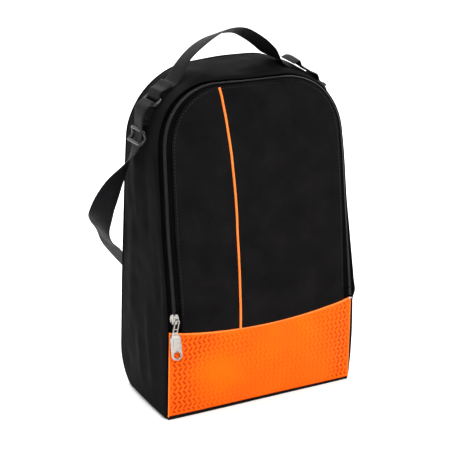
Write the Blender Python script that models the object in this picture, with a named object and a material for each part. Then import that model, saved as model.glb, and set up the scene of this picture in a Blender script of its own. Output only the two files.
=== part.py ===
"""A shoe bag: a wedge-shaped fabric bag with a zipped front flap, a carry handle and a shoulder strap.

Metres, +Z up. The front faces -Y and the origin is the centre of the footprint, on the floor.
"""

import math

import bmesh
import bpy
from mathutils import Matrix, Vector

# The bag's outline, seen from the front
HALF_WIDTH_BASE = 0.1085
HALF_WIDTH_SHOULDER = 0.1051
SHOULDER_Z = 0.274
TOP_Z = 0.342
CORNER_RADIUS = TOP_Z - SHOULDER_Z
CORNER_X = HALF_WIDTH_SHOULDER - CORNER_RADIUS

# Its wedge, seen from the side
FOLD_Z = 0.097
FRONT_Y_BASE = -0.057
FRONT_Y_FOLD = -0.060
FRONT_Y_TOP = -0.034
BACK_Y_BASE = 0.057
BACK_Y_TOP = 0.035
BACK_CORNER_RADIUS = 0.040

# Cloth, board and clearances
CLOTH = 0.0015
GUSSET_CLOTH = 0.0020
GAP = 0.0003
BASE_BOARD_LIFT = 0.0042
BASE_BOARD_MARGIN = 0.0020
BASE_BOARD_BACK = 0.0060
BINDING_WIDTH = 0.0017
BACK_BINDING_WIDTH = 0.0040
FRONT_BINDING_DEPTHS = (-0.0018, -0.0040)
BACK_BINDING_DEPTHS = (0.0018, 0.0030)
TAPE_DEPTHS = (-0.0012, 0.0)
ZIP_STOP_SIZE = (0.0018, 0.0030, 0.0020)
ZIP_STOP_DROP = 0.0021
ZIP_STOP_OUT = 0.0005

# The zip, as distances in from the outline
ZIP_BOTTOM_Z = 0.101
OUTER_TAPE = (0.0023, 0.0058)
OUTER_COIL = (0.0060, 0.0075)
ZIP_CENTRE = 0.0080
INNER_COIL = (0.0085, 0.0100)
INNER_TAPE = (0.0102, 0.0135)
FLAP_EDGE = 0.0138
COIL_FRONT = 0.0016
COIL_BACK = -0.0004
INNER_ZIP_BOTTOM_Z = 0.1170

# The orange panel and the piping
PANEL_SAG = 0.0105
PIPING_X = -0.0262
PIPING_DRIFT = 0.0118
PIPING_BEND_Z = 0.190
PIPING_WIDTH = 0.0030
PIPING_DEPTHS = (-0.0008, 0.0014)
SEAM_CLEARANCE = 0.0010
HEM_HEIGHT = 0.0016
HEM_THICKNESS = 0.0007

# Webbing, rings and hinges
WEBBING_WIDTH = 0.025
WEBBING = 0.0012
RING_BAR = 0.0016
RING_HALF_LENGTH = 0.0148
UPPER_BAR = (0.0898, 0.3225)
LOWER_BAR = (0.0972, 0.3171)
HANDLE_FOLD_Z = 0.3395
HANDLE_SPLIT_Z = 0.3635

# The slider
SLIDER_Z = 0.110
SLIDER_LENGTH = 0.010
SLIDER_WIDTH = 0.009
SLIDER_PLATE = 0.0015
SLIDER_PLATE_OUT = COIL_FRONT + 0.0004
SLIDER_BACK_DEPTH = 0.0018
SLIDER_BLADE = (0.0004, 0.008)
SLIDER_BACK_PLACE = (-0.0016, 0, -0.0024)
SLIDER_BACK_SIZE = (0.0036, 0.009, 0.0012)
BAIL_WIDTH = 0.0022
BAIL_POST_SPACING = 0.0030
BAIL_POST_SIZE = (BAIL_WIDTH, 0.0012, 0.0030)
BAIL_POST_LIFT = 0.0011
BAIL_BRIDGE_SIZE = (BAIL_WIDTH, 0.0072, 0.0009)
BAIL_BRIDGE_LIFT = 0.0026
LINK_HALF_WIDTH = 0.0026
LINK_WIRE = 0.0005
LINK_OVERLAP = 0.0010
PULL_PIVOT_Z = 0.1095
PULL_PIVOT_OUT = 0.0048
PULL_X_SHIFT = -0.0018
PULL_TOP_Z = 0.0955
PULL_LENGTH = 0.027
PULL_WIDTH = 0.0115
PULL_THICKNESS = 0.0016
PULL_CORNER = 0.0030
PULL_SET_BACK = 0.0002
PULL_HOLE_RADIUS = 0.0026
PULL_HOLE_RISE = 0.0052
PULL_HOLE_DEPTH = 0.003
PULL_LEAN = math.radians(3.5)

ADJUSTER_CENTRE = (-0.1120, 0.0, 0.2850)
ADJUSTER_LEAN = 0.1
CENTRE_BAR_BACK = 0.0038
ADJUSTER_RAIL_SIZE = (0.0024, 0.0160, 0.0078)
ADJUSTER_RAIL_BACK = 0.0008
ADJUSTER_RAIL_CLEARANCE = 0.0016
ADJUSTER_BAR_LENGTH = WEBBING_WIDTH + 0.0040
END_BAR_PLACES = ((-0.0065, 0.0020), (0.0065, 0.0020))
END_BAR_SECTION = (0.0026, 0.0020)
CENTRE_BAR_SECTION = (0.0020, 0.0016)
RETURN_TURN = 0.0013 + GAP + WEBBING / 2
RING_CORNER = 0.0022

COLOURS = {
    "black_cloth": ((0.018, 0.018, 0.020), 0.85, 0.0),
    "orange_cloth": ((0.90, 0.16, 0.010), 0.65, 0.0),
    "orange_piping": ((0.95, 0.26, 0.05), 0.55, 0.0),
    "zip_black": ((0.015, 0.015, 0.016), 0.60, 0.0),
    "webbing": ((0.022, 0.022, 0.024), 0.75, 0.0),
    "nickel": ((0.72, 0.70, 0.66), 0.25, 1.0),
    "black_plastic": ((0.020, 0.020, 0.022), 0.30, 0.0),
    "base_board": ((0.10, 0.10, 0.11), 0.60, 0.0),
}


def clear_scene():
    for found in list(bpy.data.objects):
        bpy.data.objects.remove(found)


def make_material(name):
    colour, roughness, metallic = COLOURS[name]
    material = bpy.data.materials.new(name)
    material.use_nodes = True
    shader = material.node_tree.nodes["Principled BSDF"]
    shader.inputs["Base Color"].default_value = (*colour, 1.0)
    shader.inputs["Roughness"].default_value = roughness
    shader.inputs["Metallic"].default_value = metallic
    material.diffuse_color = (*colour, 1.0)
    return material


def make_pivot(name, place):
    pivot = bpy.data.objects.new(name, None)
    pivot.empty_display_size = 0.01
    pivot.location = place
    bpy.context.scene.collection.objects.link(pivot)
    return pivot


def dress(thing, material, pivot):
    """Links an object whose data is in world coordinates, and hangs it on its pivot."""
    bpy.context.scene.collection.objects.link(thing)
    thing.data.materials.append(material)
    if pivot:
        thing.data.transform(Matrix.Translation(-pivot.location))
        thing.parent = pivot
    return thing


def make_solid(name, points, faces, material, pivot=None, smooth=False):
    mesh = bpy.data.meshes.new(name)
    shape = bmesh.new()
    corners = [shape.verts.new(point) for point in points]
    for face in faces:
        shape.faces.new([corners[i] for i in face])
    bmesh.ops.recalc_face_normals(shape, faces=shape.faces)
    shape.to_mesh(mesh)
    shape.free()
    if smooth:
        mesh.shade_smooth()
        mesh.set_sharp_from_angle(angle=math.radians(40))
    return dress(bpy.data.objects.new(name, mesh), material, pivot)


def loft_solid(name, rings, material, pivot=None):
    """A closed body through rings of the same number of points, with flat ends."""
    count = len(rings[0])
    points = [point for ring in rings for point in ring]
    faces = [list(range(count)), list(range(len(points) - count, len(points)))]
    for row in range(len(rings) - 1):
        for i in range(count):
            j = (i + 1) % count
            low = row * count
            faces.append([low + i, low + j, low + count + j, low + count + i])
    return make_solid(name, points, faces, material, pivot)


def prism(name, outline, depths, place, material, pivot=None):
    """An outline in (x, z), thick between two depths, laid on a surface by place(x, z, depth)."""
    rings = [[place(x, z, depth) for x, z in outline] for depth in depths]
    return loft_solid(name, rings, material, pivot)


def box(name, centre, size, frame, material, pivot=None):
    """A box whose centre and size are along the frame's three directions."""
    origin, across, along, out = frame
    points = []
    for k in (-0.5, 0.5):
        for i, j in ((-0.5, -0.5), (0.5, -0.5), (0.5, 0.5), (-0.5, 0.5)):
            point = origin + across * (centre[0] + i * size[0])
            point = point + along * (centre[1] + j * size[1]) + out * (centre[2] + k * size[2])
            points.append(point)
    return loft_solid(name, [points[:4], points[4:]], material, pivot)


def unite(thing, others):
    """Joins the others onto a thing, and leaves them as hidden helpers."""
    for other in others:
        other.hide_render = True
        other.display_type = "WIRE"
        join = thing.modifiers.new("join", "BOOLEAN")
        join.operation = "UNION"
        join.object = other
    return thing


def smooth_path(points, steps):
    """A smooth curve through the points, with the given number of steps between each two."""
    points = [Vector(point) for point in points]
    ends = [2 * points[0] - points[1]] + points + [2 * points[-1] - points[-2]]
    path = []
    for i in range(1, len(ends) - 2):
        before, start, stop, after = ends[i - 1 : i + 3]
        for step in range(steps):
            t = step / steps
            path.append(
                0.5
                * (
                    2 * start
                    + (stop - before) * t
                    + (2 * before - 5 * start + 4 * stop - after) * t**2
                    + (3 * start - before - 3 * stop + after) * t**3
                )
            )
    return path + [points[-1]]


def ribbon(name, centres, wides, width, thickness, material, pivot=None):
    """A flat strip along the centres, lying across the wide directions."""
    centres = [Vector(centre) for centre in centres]
    rings = []
    for i, centre in enumerate(centres):
        ahead = centres[min(i + 1, len(centres) - 1)] - centres[max(i - 1, 0)]
        ahead.normalize()
        wide = Vector(wides[i] if isinstance(wides, list) else wides)
        wide = (wide - wide.dot(ahead) * ahead).normalized()
        up = ahead.cross(wide)
        half_wide = wide * width / 2
        half_up = up * thickness / 2
        rings.append(
            [
                centre - half_wide - half_up,
                centre + half_wide - half_up,
                centre + half_wide + half_up,
                centre - half_wide + half_up,
            ]
        )
    return loft_solid(name, rings, material, pivot)


def tube(name, points, radius, material, pivot=None, closed=True):
    curve = bpy.data.curves.new(name, "CURVE")
    curve.dimensions = "3D"
    curve.bevel_depth = radius
    curve.bevel_resolution = 2
    curve.use_fill_caps = True
    spline = curve.splines.new("POLY")
    spline.points.add(len(points) - 1)
    for knot, point in zip(spline.points, points):
        knot.co = (*point, 1.0)
    spline.use_cyclic_u = closed
    spline.use_smooth = True
    return dress(bpy.data.objects.new(name, curve), material, pivot)


# ---------------------------------------------------------------- the bag's surfaces


def half_width(z):
    return HALF_WIDTH_BASE - (HALF_WIDTH_BASE - HALF_WIDTH_SHOULDER) * z / SHOULDER_Z


def front_y(z):
    if z < FOLD_Z:
        return FRONT_Y_BASE + (FRONT_Y_FOLD - FRONT_Y_BASE) * z / FOLD_Z
    return FRONT_Y_FOLD + (FRONT_Y_TOP - FRONT_Y_FOLD) * (z - FOLD_Z) / (TOP_Z - FOLD_Z)


def back_y(z):
    if z < BACK_CORNER_RADIUS:
        drop = BACK_CORNER_RADIUS - max(z, 0.0)
        bow = math.sqrt(BACK_CORNER_RADIUS**2 - drop**2)
        return BACK_Y_BASE - BACK_CORNER_RADIUS + bow
    share = (z - BACK_CORNER_RADIUS) / (TOP_Z - BACK_CORNER_RADIUS)
    return BACK_Y_BASE + (BACK_Y_TOP - BACK_Y_BASE) * share


FLAP_LEAN = math.atan2(FRONT_Y_TOP - FRONT_Y_FOLD, TOP_Z - FOLD_Z)
FLAP_OUT = Vector((0.0, -math.cos(FLAP_LEAN), math.sin(FLAP_LEAN)))
FLAP_UP = Vector((0.0, math.sin(FLAP_LEAN), math.cos(FLAP_LEAN)))


def on_flap(x, z, out):
    """A point of the leaning front plane at height z, moved out of it."""
    y = FRONT_Y_FOLD + (z - FOLD_Z) * math.tan(FLAP_LEAN)
    return Vector((x, y, z)) + out * FLAP_OUT


def on_lower_front(x, z, out):
    return Vector((x, front_y(z) - out, z))


def panel_top_z(x):
    """The orange panel's top edge, which sags in the middle."""
    return FOLD_Z - PANEL_SAG * (1 - (x / half_width(FOLD_Z)) ** 2)


def piping_x(z):
    rise = max(0.0, z - PIPING_BEND_Z) / (TOP_Z - PIPING_BEND_Z)
    return PIPING_X - PIPING_DRIFT * 1.12 * rise**2.5


def arch(inset, bottom_z, steps=9):
    """Points (x, z) of the outline moved in, from the left foot over the top to the right foot."""
    left = [(-(half_width(bottom_z) - inset), bottom_z)]
    radius = CORNER_RADIUS - inset
    for i in range(steps + 1):
        turn = math.pi / 2 * i / steps
        x = CORNER_X + radius * math.cos(turn)
        left.append((-x, SHOULDER_Z + radius * math.sin(turn)))
    return left + [(-x, z) for x, z in reversed(left)]


def arch_strip(name, insets, bottoms, depths, material, pivot=None):
    """A flat strip of the front plane between two insets, round the whole arch."""
    edges = [arch(inset, bottoms[0]) for inset in insets]
    for edge, inset in zip(edges, insets):
        edge[-1] = (half_width(bottoms[1]) - inset, bottoms[1])
    rings = []
    for outer, inner in zip(*edges):
        ring = [on_flap(*outer, depths[0]), on_flap(*outer, depths[1])]
        rings.append(ring + [on_flap(*inner, depths[1]), on_flap(*inner, depths[0])])
    return loft_solid(name, rings, material, pivot)


# ---------------------------------------------------------------- the bag's body


def make_gusset(material):
    heights = [BACK_CORNER_RADIUS * (1 - math.cos(math.pi / 2 * i / 5)) for i in range(6)]
    heights.append(FOLD_Z)
    outer = arch(0.0, SHOULDER_Z)[1:-1]
    inner = arch(GUSSET_CLOTH, SHOULDER_Z)[1:-1]
    feet = [((half_width(z), z), (half_width(z) - GUSSET_CLOTH, z)) for z in heights]
    pairs = [((-a[0], a[1]), (-b[0], b[1])) for a, b in feet]
    pairs += list(zip(outer, inner))
    pairs += list(reversed(feet))
    rings = []
    for (x_out, z_out), (x_in, z_in) in pairs:
        rings.append(
            [
                (x_out, front_y(z_out), z_out),
                (x_out, back_y(z_out), z_out),
                (x_in, back_y(z_in), z_in),
                (x_in, front_y(z_in), z_in),
            ]
        )
    loft_solid("gusset", rings, material)


def inner_half_width(z, inset):
    if z <= SHOULDER_Z:
        return half_width(z) - inset
    radius = CORNER_RADIUS - inset
    return CORNER_X + math.sqrt(max(0.0, radius**2 - (z - SHOULDER_Z) ** 2))


def make_back_panel(material):
    inset = GUSSET_CLOTH + GAP
    radius = BACK_CORNER_RADIUS
    centre_y = BACK_Y_BASE - radius
    rings = []
    steps = 6
    first_turn = math.radians(2)
    for i in range(steps + 1):
        turn = first_turn + (math.pi / 2 - first_turn) * i / steps
        walls = []
        for size in (radius, radius - CLOTH):
            y = centre_y + size * math.sin(turn)
            z = radius - size * math.cos(turn)
            walls.append((inner_half_width(z, inset), y, z))
        (x, y, z), (x_in, y_in, z_in) = walls
        rings.append([(-x, y, z), (x, y, z), (x_in, y_in, z_in), (-x_in, y_in, z_in)])
    top = TOP_Z - inset
    steps = 8
    for i in range(steps + 1):
        z = SHOULDER_Z + (top - SHOULDER_Z) * math.sin(math.pi / 2 * i / steps)
        x = inner_half_width(z, inset)
        y = back_y(z)
        rings.append([(-x, y, z), (x, y, z), (x, y - CLOTH, z), (-x, y - CLOTH, z)])
    loft_solid("back_panel", rings, material)


def make_base(cloth, board):
    inset = GUSSET_CLOTH + GAP
    front = FRONT_Y_BASE + CLOTH + GAP
    back = BACK_Y_BASE - BACK_CORNER_RADIUS
    frame = (Vector(), Vector((1, 0, 0)), Vector((0, 1, 0)), Vector((0, 0, 1)))
    middle = (front + back) / 2
    width = 2 * (half_width(0.0) - inset)
    box("base_panel", (0, middle, CLOTH / 2), (width, back - front, CLOTH), frame, cloth)
    front += BASE_BOARD_MARGIN / 2
    back += BASE_BOARD_BACK
    centre = (0, (front + back) / 2, BASE_BOARD_LIFT)
    size = (width - 2 * BASE_BOARD_MARGIN, back - front, CLOTH)
    box("base_board", centre, size, frame, board)


def make_lower_front(orange, hem):
    inset = GUSSET_CLOTH + GAP
    side = half_width(0.0) - inset
    steps = 12
    top = []
    edge = []
    for i in range(steps + 1):
        x = side * (1 - 2 * i / steps) * (half_width(FOLD_Z) - inset) / side
        top.append((x, panel_top_z(x) - GAP))
        edge.append((x, panel_top_z(x) - 2 * GAP))
    outline = [(-side, 0.0), (side, 0.0)] + top
    prism("lower_front_panel", outline, (-CLOTH, 0.0), on_lower_front, orange)
    lower = [(x, z - HEM_HEIGHT) for x, z in reversed(edge)]
    prism("lower_panel_hem", edge + lower, (GAP, GAP + HEM_THICKNESS), on_lower_front, hem)


def make_bindings(material):
    start = GUSSET_CLOTH + GAP
    near, far = FRONT_BINDING_DEPTHS
    rings = []
    for outer, inner in zip(arch(start, FOLD_Z), arch(start + BINDING_WIDTH, FOLD_Z)):
        ring = [on_flap(*outer, near), on_flap(*outer, far)]
        rings.append(ring + [on_flap(*inner, far), on_flap(*inner, near)])
    loft_solid("front_seam_binding", rings, material)
    near, far = BACK_BINDING_DEPTHS
    rings = []
    for outer, inner in zip(arch(start, FOLD_Z), arch(start + BACK_BINDING_WIDTH, FOLD_Z)):
        ring = []
        for (x, z), depth in ((outer, near), (outer, far), (inner, far), (inner, near)):
            ring.append((x, back_y(z) - depth, z))
        rings.append(ring)
    loft_solid("back_seam_binding", rings, material)


def make_outer_zip(tape, coil, metal):
    bottoms = (ZIP_BOTTOM_Z, ZIP_BOTTOM_Z)
    arch_strip("outer_zip_tape", OUTER_TAPE, bottoms, TAPE_DEPTHS, tape)
    arch_strip("outer_zip_coil", OUTER_COIL, bottoms, (COIL_BACK, COIL_FRONT), coil)
    for side, name in ((-1, "zip_stop_left"), (1, "zip_stop_right")):
        x = side * (half_width(FOLD_Z) - sum(OUTER_COIL) / 2)
        place = on_flap(x, ZIP_BOTTOM_Z - ZIP_STOP_DROP, ZIP_STOP_OUT)
        frame = (place, Vector((1, 0, 0)), FLAP_UP, FLAP_OUT)
        box(name, (0, 0, 0), ZIP_STOP_SIZE, frame, metal)


# ---------------------------------------------------------------- the flap


def make_flap(cloth, piping, tape, coil, pivot):
    outline = arch(FLAP_EDGE, FOLD_Z)
    top = TOP_Z - FLAP_EDGE
    steps = 8
    seam = []
    foot = panel_top_z(PIPING_X) + 2 * GAP
    for i in range(steps + 1):
        z = foot + (top - foot) * i / steps
        seam.append((piping_x(z), z))
    half = PIPING_WIDTH / 2 + GAP
    side = half_width(FOLD_Z) - FLAP_EDGE
    left_foot = []
    right_foot = []
    for i in range(steps + 1):
        x = -side + (PIPING_X - half + side) * i / steps
        left_foot.append((x, panel_top_z(x) + 2 * GAP))
        x = side + (PIPING_X + half - side) * i / steps
        right_foot.append((x, panel_top_z(x) + 2 * GAP))
    clear = half + SEAM_CLEARANCE
    left_top = [point for point in outline[1:] if point[0] < seam[-1][0] - clear]
    right_top = [point for point in outline[:-1] if point[0] > seam[-1][0] + clear]
    left_seam = [(x - half, z) for x, z in seam[1:]]
    right_seam = [(x + half, z) for x, z in seam[1:]]
    left = left_foot + left_seam + list(reversed(left_top))
    right = right_foot + right_seam + right_top
    depths = (-CLOTH, 0.0)
    prism("flap_left_panel", left, depths, on_flap, cloth, pivot)
    prism("flap_right_panel", right, depths, on_flap, cloth, pivot)
    cord = [(x - PIPING_WIDTH / 2, z) for x, z in seam]
    cord += [(x + PIPING_WIDTH / 2, z) for x, z in reversed(seam)]
    prism("flap_piping", cord, PIPING_DEPTHS, on_flap, piping, pivot)
    bottoms = (INNER_ZIP_BOTTOM_Z, ZIP_BOTTOM_Z)
    arch_strip("inner_zip_tape", INNER_TAPE, bottoms, TAPE_DEPTHS, tape, pivot)
    arch_strip("inner_zip_coil", INNER_COIL, bottoms, (COIL_BACK, COIL_FRONT), coil, pivot)


# ---------------------------------------------------------------- slider and pull


def slider_frame():
    x = -(half_width(SLIDER_Z) - ZIP_CENTRE)
    run = on_flap(-(half_width(SHOULDER_Z) - ZIP_CENTRE), SHOULDER_Z, 0) - on_flap(x, SLIDER_Z, 0)
    along = run.normalized()
    across = along.cross(FLAP_OUT).normalized()
    return on_flap(x, SLIDER_Z, 0), across, along, FLAP_OUT


def make_slider(metal, pivot):
    frame = slider_frame()
    front = SLIDER_PLATE_OUT + SLIDER_PLATE
    size = (SLIDER_WIDTH, SLIDER_LENGTH, SLIDER_PLATE)
    centre = (0, 0, SLIDER_PLATE_OUT + SLIDER_PLATE / 2)
    plate = box("zip_slider", centre, size, frame, metal, pivot)
    centre = (0, 0, (SLIDER_PLATE_OUT - SLIDER_BACK_DEPTH) / 2)
    size = (*SLIDER_BLADE, SLIDER_PLATE_OUT + SLIDER_BACK_DEPTH + SLIDER_BLADE[0])
    blade = box("slider_blade", centre, size, frame, metal, pivot)
    back = box("slider_back", SLIDER_BACK_PLACE, SLIDER_BACK_SIZE, frame, metal, pivot)
    posts = []
    for end in (-1, 1):
        centre = (0, end * BAIL_POST_SPACING, front + BAIL_POST_LIFT)
        posts.append(box("bail_post", centre, BAIL_POST_SIZE, frame, metal, pivot))
    centre = (0, 0, front + BAIL_BRIDGE_LIFT)
    bridge = box("bail_bridge", centre, BAIL_BRIDGE_SIZE, frame, metal, pivot)
    unite(plate, [blade, back, *posts, bridge])


def rounded_outline(width, low, high, radius, steps=4):
    """A rounded rectangle in (x, z), centred on x = 0."""
    points = []
    corners = (
        (width / 2 - radius, low + radius, -90),
        (width / 2 - radius, high - radius, 0),
        (-width / 2 + radius, high - radius, 90),
        (-width / 2 + radius, low + radius, 180),
    )
    for x, z, start in corners:
        for i in range(steps + 1):
            turn = math.radians(start + 90 * i / steps)
            points.append((x + radius * math.cos(turn), z + radius * math.sin(turn)))
    return points


def make_pull(metal, pivot):
    frame = slider_frame()
    x = frame[0].x
    y = pivot.location.y
    half = LINK_HALF_WIDTH
    top = pivot.location.z
    bottom = PULL_TOP_Z + LINK_OVERLAP
    slope = math.tan(PULL_LEAN)
    foot_y = y - (top - bottom) * slope
    loop = [(x - half, y, top), (x + half, y, top)]
    loop += [(x + half, foot_y, bottom), (x - half, foot_y, bottom)]
    tube("pull_link", loop, LINK_WIRE, metal, pivot)
    centre_x = x + PULL_X_SHIFT
    low = PULL_TOP_Z - PULL_LENGTH
    outline = rounded_outline(PULL_WIDTH, low, PULL_TOP_Z - 2 * GAP, PULL_CORNER)

    def hang(px, pz, depth):
        return Vector((centre_x + px, y + PULL_SET_BACK - (top - pz) * slope - depth, pz))

    depths = (-PULL_THICKNESS / 2, PULL_THICKNESS / 2)
    tab = prism("pull_tab", outline, depths, hang, metal, pivot)
    rim = []
    for i in range(16):
        turn = 2 * math.pi * i / 16
        px = PULL_HOLE_RADIUS * math.cos(turn)
        rim.append((px, low + PULL_HOLE_RISE + PULL_HOLE_RADIUS * math.sin(turn)))
    hole = prism("pull_hole", rim, (-PULL_HOLE_DEPTH, PULL_HOLE_DEPTH), hang, metal, pivot)
    hole.hide_render = True
    hole.display_type = "WIRE"
    cut = tab.modifiers.new("hole", "BOOLEAN")
    cut.operation = "DIFFERENCE"
    cut.object = hole


# ---------------------------------------------------------------- handle, tabs and rings


def shoulder_point(side, turn, radius):
    """A point round the shoulder's centre: turn from straight up, towards the bag's side."""
    x = CORNER_X + radius * math.sin(turn)
    return Vector((side * x, 0.0, SHOULDER_Z + radius * math.cos(turn)))


def ring_turn():
    return math.atan2(UPPER_BAR[0] - CORNER_X, UPPER_BAR[1] - SHOULDER_Z)


def ring_reach():
    return math.hypot(UPPER_BAR[0] - CORNER_X, UPPER_BAR[1] - SHOULDER_Z)


PATCH_RADIUS = CORNER_RADIUS + GAP + WEBBING / 2
PATCH_TURNS = {-1: (28.0, 38.0), 1: (14.0, 24.0)}
PATCH_GAP_TURN = 0.6
TAB_LIFT = 0.0001
TAB_STACK = 0.0017
TAB_APPROACH = 0.0015
TAB_DROP_LENGTH = 0.009
SIDE_NAMES = {-1: "left", 1: "right"}
ACROSS_Y = (0.0, 1.0, 0.0)


def make_anchors(material):
    for side, (start, stop) in PATCH_TURNS.items():
        turns = [math.radians(start + (stop - start) * i / 3) for i in range(4)]
        path = [shoulder_point(side, turn, PATCH_RADIUS) for turn in turns]
        name = "handle_anchor_" + SIDE_NAMES[side]
        ribbon(name, path, ACROSS_Y, WEBBING_WIDTH, WEBBING, material)


def make_ring_tabs(material):
    """Each tab leaves the anchor, turns round the ring's upper bar and comes back on top."""
    bar_turn = ring_turn()
    bar_reach = ring_reach()
    wrap = RING_BAR + GAP + WEBBING / 2
    top_reach = PATCH_RADIUS + TAB_STACK
    for side, (_, stop) in PATCH_TURNS.items():
        start = math.radians(stop + PATCH_GAP_TURN)
        approach = bar_turn - TAB_APPROACH / bar_reach
        path = []
        for i in range(7):
            turn = start + (approach - start) * i / 6
            path.append(shoulder_point(side, turn, PATCH_RADIUS + TAB_LIFT))
        for i in range(7):
            angle = math.pi * (i / 6 - 0.5)
            turn = bar_turn + wrap * math.cos(angle) / bar_reach
            path.append(shoulder_point(side, turn, bar_reach + wrap * math.sin(angle)))
        for i in range(1, 7):
            turn = bar_turn + (start - bar_turn) * i / 6
            drop = min(1.0, (bar_turn - turn) * bar_reach / TAB_DROP_LENGTH)
            reach = bar_reach + wrap - (wrap + bar_reach - top_reach) * drop
            path.append(shoulder_point(side, turn, reach))
        name = "ring_tab_" + SIDE_NAMES[side]
        ribbon(name, path, ACROSS_Y, WEBBING_WIDTH, WEBBING, material)


def make_ring(side, material):
    upper = Vector((side * UPPER_BAR[0], 0.0, UPPER_BAR[1]))
    lower = Vector((side * LOWER_BAR[0], 0.0, LOWER_BAR[1]))
    middle = (upper + lower) / 2
    down = (lower - upper).normalized()
    half_height = (lower - upper).length / 2
    points = []
    for px, pz in rounded_outline(2 * RING_HALF_LENGTH, -half_height, half_height, RING_CORNER, 3):
        points.append(middle + Vector((0.0, px, 0.0)) + down * pz)
    tube(SIDE_NAMES[side] + "_ring", points, RING_BAR, material)


HANDLE_LEFT_LEG = ((-0.0690, 0.3425), (-0.0640, 0.3530), (-0.0562, HANDLE_SPLIT_Z))
HANDLE_ARCH = (
    (-0.0560, HANDLE_SPLIT_Z + GAP),
    (-0.0457, 0.3712),
    (-0.0324, 0.3773),
    (-0.0201, 0.3803),
    (-0.0080, 0.3806),
    (0.0050, 0.3780),
    (0.0160, 0.3720),
    (0.0268, HANDLE_SPLIT_Z + GAP),
)
HANDLE_RIGHT_LEG = ((0.0271, HANDLE_SPLIT_Z), (0.0360, 0.3556), (0.0460, 0.3476))


def in_plane(points):
    return [Vector((x, 0.0, z)) for x, z in points]


def make_handle(material, pivot):
    foot = shoulder_point(-1, math.radians(PATCH_TURNS[-1][0] - PATCH_GAP_TURN), PATCH_RADIUS)
    path = smooth_path([foot, *in_plane(HANDLE_LEFT_LEG)], 3)
    ribbon("handle_leg_left", path, ACROSS_Y, WEBBING_WIDTH, WEBBING, material)
    foot = shoulder_point(1, math.radians(PATCH_TURNS[1][0] - PATCH_GAP_TURN), PATCH_RADIUS)
    path = smooth_path([*in_plane(HANDLE_RIGHT_LEG), foot], 3)
    ribbon("handle_leg_right", path, ACROSS_Y, WEBBING_WIDTH, WEBBING, material)
    path = smooth_path(in_plane(HANDLE_ARCH), 2)
    ribbon("carry_handle", path, ACROSS_Y, WEBBING_WIDTH, WEBBING, material, pivot)


# ---------------------------------------------------------------- shoulder strap

# Each stop of the strap's route: its place, and the way across the webbing.
STRAP_ROUTE = (
    ((-0.1098, 0.000, 0.3070), (0.00, 1.00, 0.00)),
    ((-0.1110, 0.000, 0.2950), (0.00, 1.00, 0.00)),
    ((-0.1120, 0.000, 0.2850), (0.00, 1.00, 0.00)),
    ((-0.1133, 0.000, 0.2720), (0.00, 1.00, 0.00)),
    ((-0.1185, 0.003, 0.2580), (0.44, 0.84, -0.31)),
    ((-0.1255, 0.010, 0.2380), (0.80, 0.45, -0.40)),
    ((-0.1340, 0.016, 0.2200), (0.90, 0.05, -0.42)),
    ((-0.1395, 0.024, 0.2020), (0.88, -0.20, -0.42)),
    ((-0.1380, 0.036, 0.1860), (0.60, -0.60, -0.52)),
    ((-0.1285, 0.047, 0.1700), (0.25, -0.76, -0.60)),
    ((-0.1166, 0.058, 0.1540), (0.07, -0.78, -0.62)),
    ((-0.1010, 0.070, 0.1330), (0.03, -0.90, -0.42)),
    ((-0.0740, 0.075, 0.0960), (0.00, -1.00, -0.15)),
    ((-0.0390, 0.075, 0.0560), (0.00, -1.00, 0.00)),
    ((0.0000, 0.075, 0.0380), (0.00, -1.00, 0.00)),
    ((0.0400, 0.075, 0.0540), (0.00, -1.00, 0.00)),
    ((0.0750, 0.075, 0.0950), (0.00, -1.00, 0.00)),
    ((0.1000, 0.072, 0.1350), (0.00, -1.00, 0.00)),
    ((0.1150, 0.062, 0.1760), (0.00, -1.00, 0.00)),
    ((0.1190, 0.044, 0.2200), (0.00, -1.00, 0.00)),
    ((0.1180, 0.025, 0.2560), (0.00, -1.00, 0.00)),
    ((0.1120, 0.010, 0.2860), (0.00, -1.00, 0.00)),
    ((0.1050, 0.002, 0.3035), (0.00, -1.00, 0.00)),
)
STRAP_STEPS = 3


def make_strap(material, pivot):
    path = smooth_path([place for place, _ in STRAP_ROUTE], STRAP_STEPS)
    across = smooth_path([wide for _, wide in STRAP_ROUTE], STRAP_STEPS)
    ribbon("strap_webbing", path, across, WEBBING_WIDTH, WEBBING, material, pivot)


# The inner strand, down from the left ring's lower bar
LEFT_BAR = Vector((-LOWER_BAR[0], 0.0, LOWER_BAR[1]))
INNER_TOP = LEFT_BAR + Vector((-0.0042, 0.0, -0.0110))
INNER_FOOT = LEFT_BAR + Vector((-0.0062, 0.0, -0.0190))
LEAD_SHARE = 0.48
BAR_WRAP = RING_BAR + GAP + WEBBING / 2
WRAP_TURNS = (-16.0, 143.0)
WRAP_STEPS = 7
LEAD_STEPS = (Vector((-0.0076, 0.0, -0.0028)), Vector((-0.0110, 0.0, -0.0062)))
LEAD_GAP = 0.0004
SEWN_LENGTH = 0.006
SEWN_RISE = 0.001


def make_strap_lead(material):
    """The webbing's turn round the left ring's lower bar, from the inner strand to the outer one."""
    path = [INNER_TOP.lerp(INNER_FOOT, LEAD_SHARE), INNER_TOP]
    for i in range(WRAP_STEPS + 1):
        angle = math.radians(WRAP_TURNS[0] + (WRAP_TURNS[1] - WRAP_TURNS[0]) * i / WRAP_STEPS)
        path.append(LEFT_BAR + Vector((math.cos(angle), 0.0, math.sin(angle))) * BAR_WRAP)
    path += [LEFT_BAR + step for step in LEAD_STEPS]
    path.append(Vector(STRAP_ROUTE[0][0]) + Vector((0.0, 0.0, LEAD_GAP)))
    ribbon("strap_lead", path, ACROSS_Y, WEBBING_WIDTH, WEBBING, material)


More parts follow.
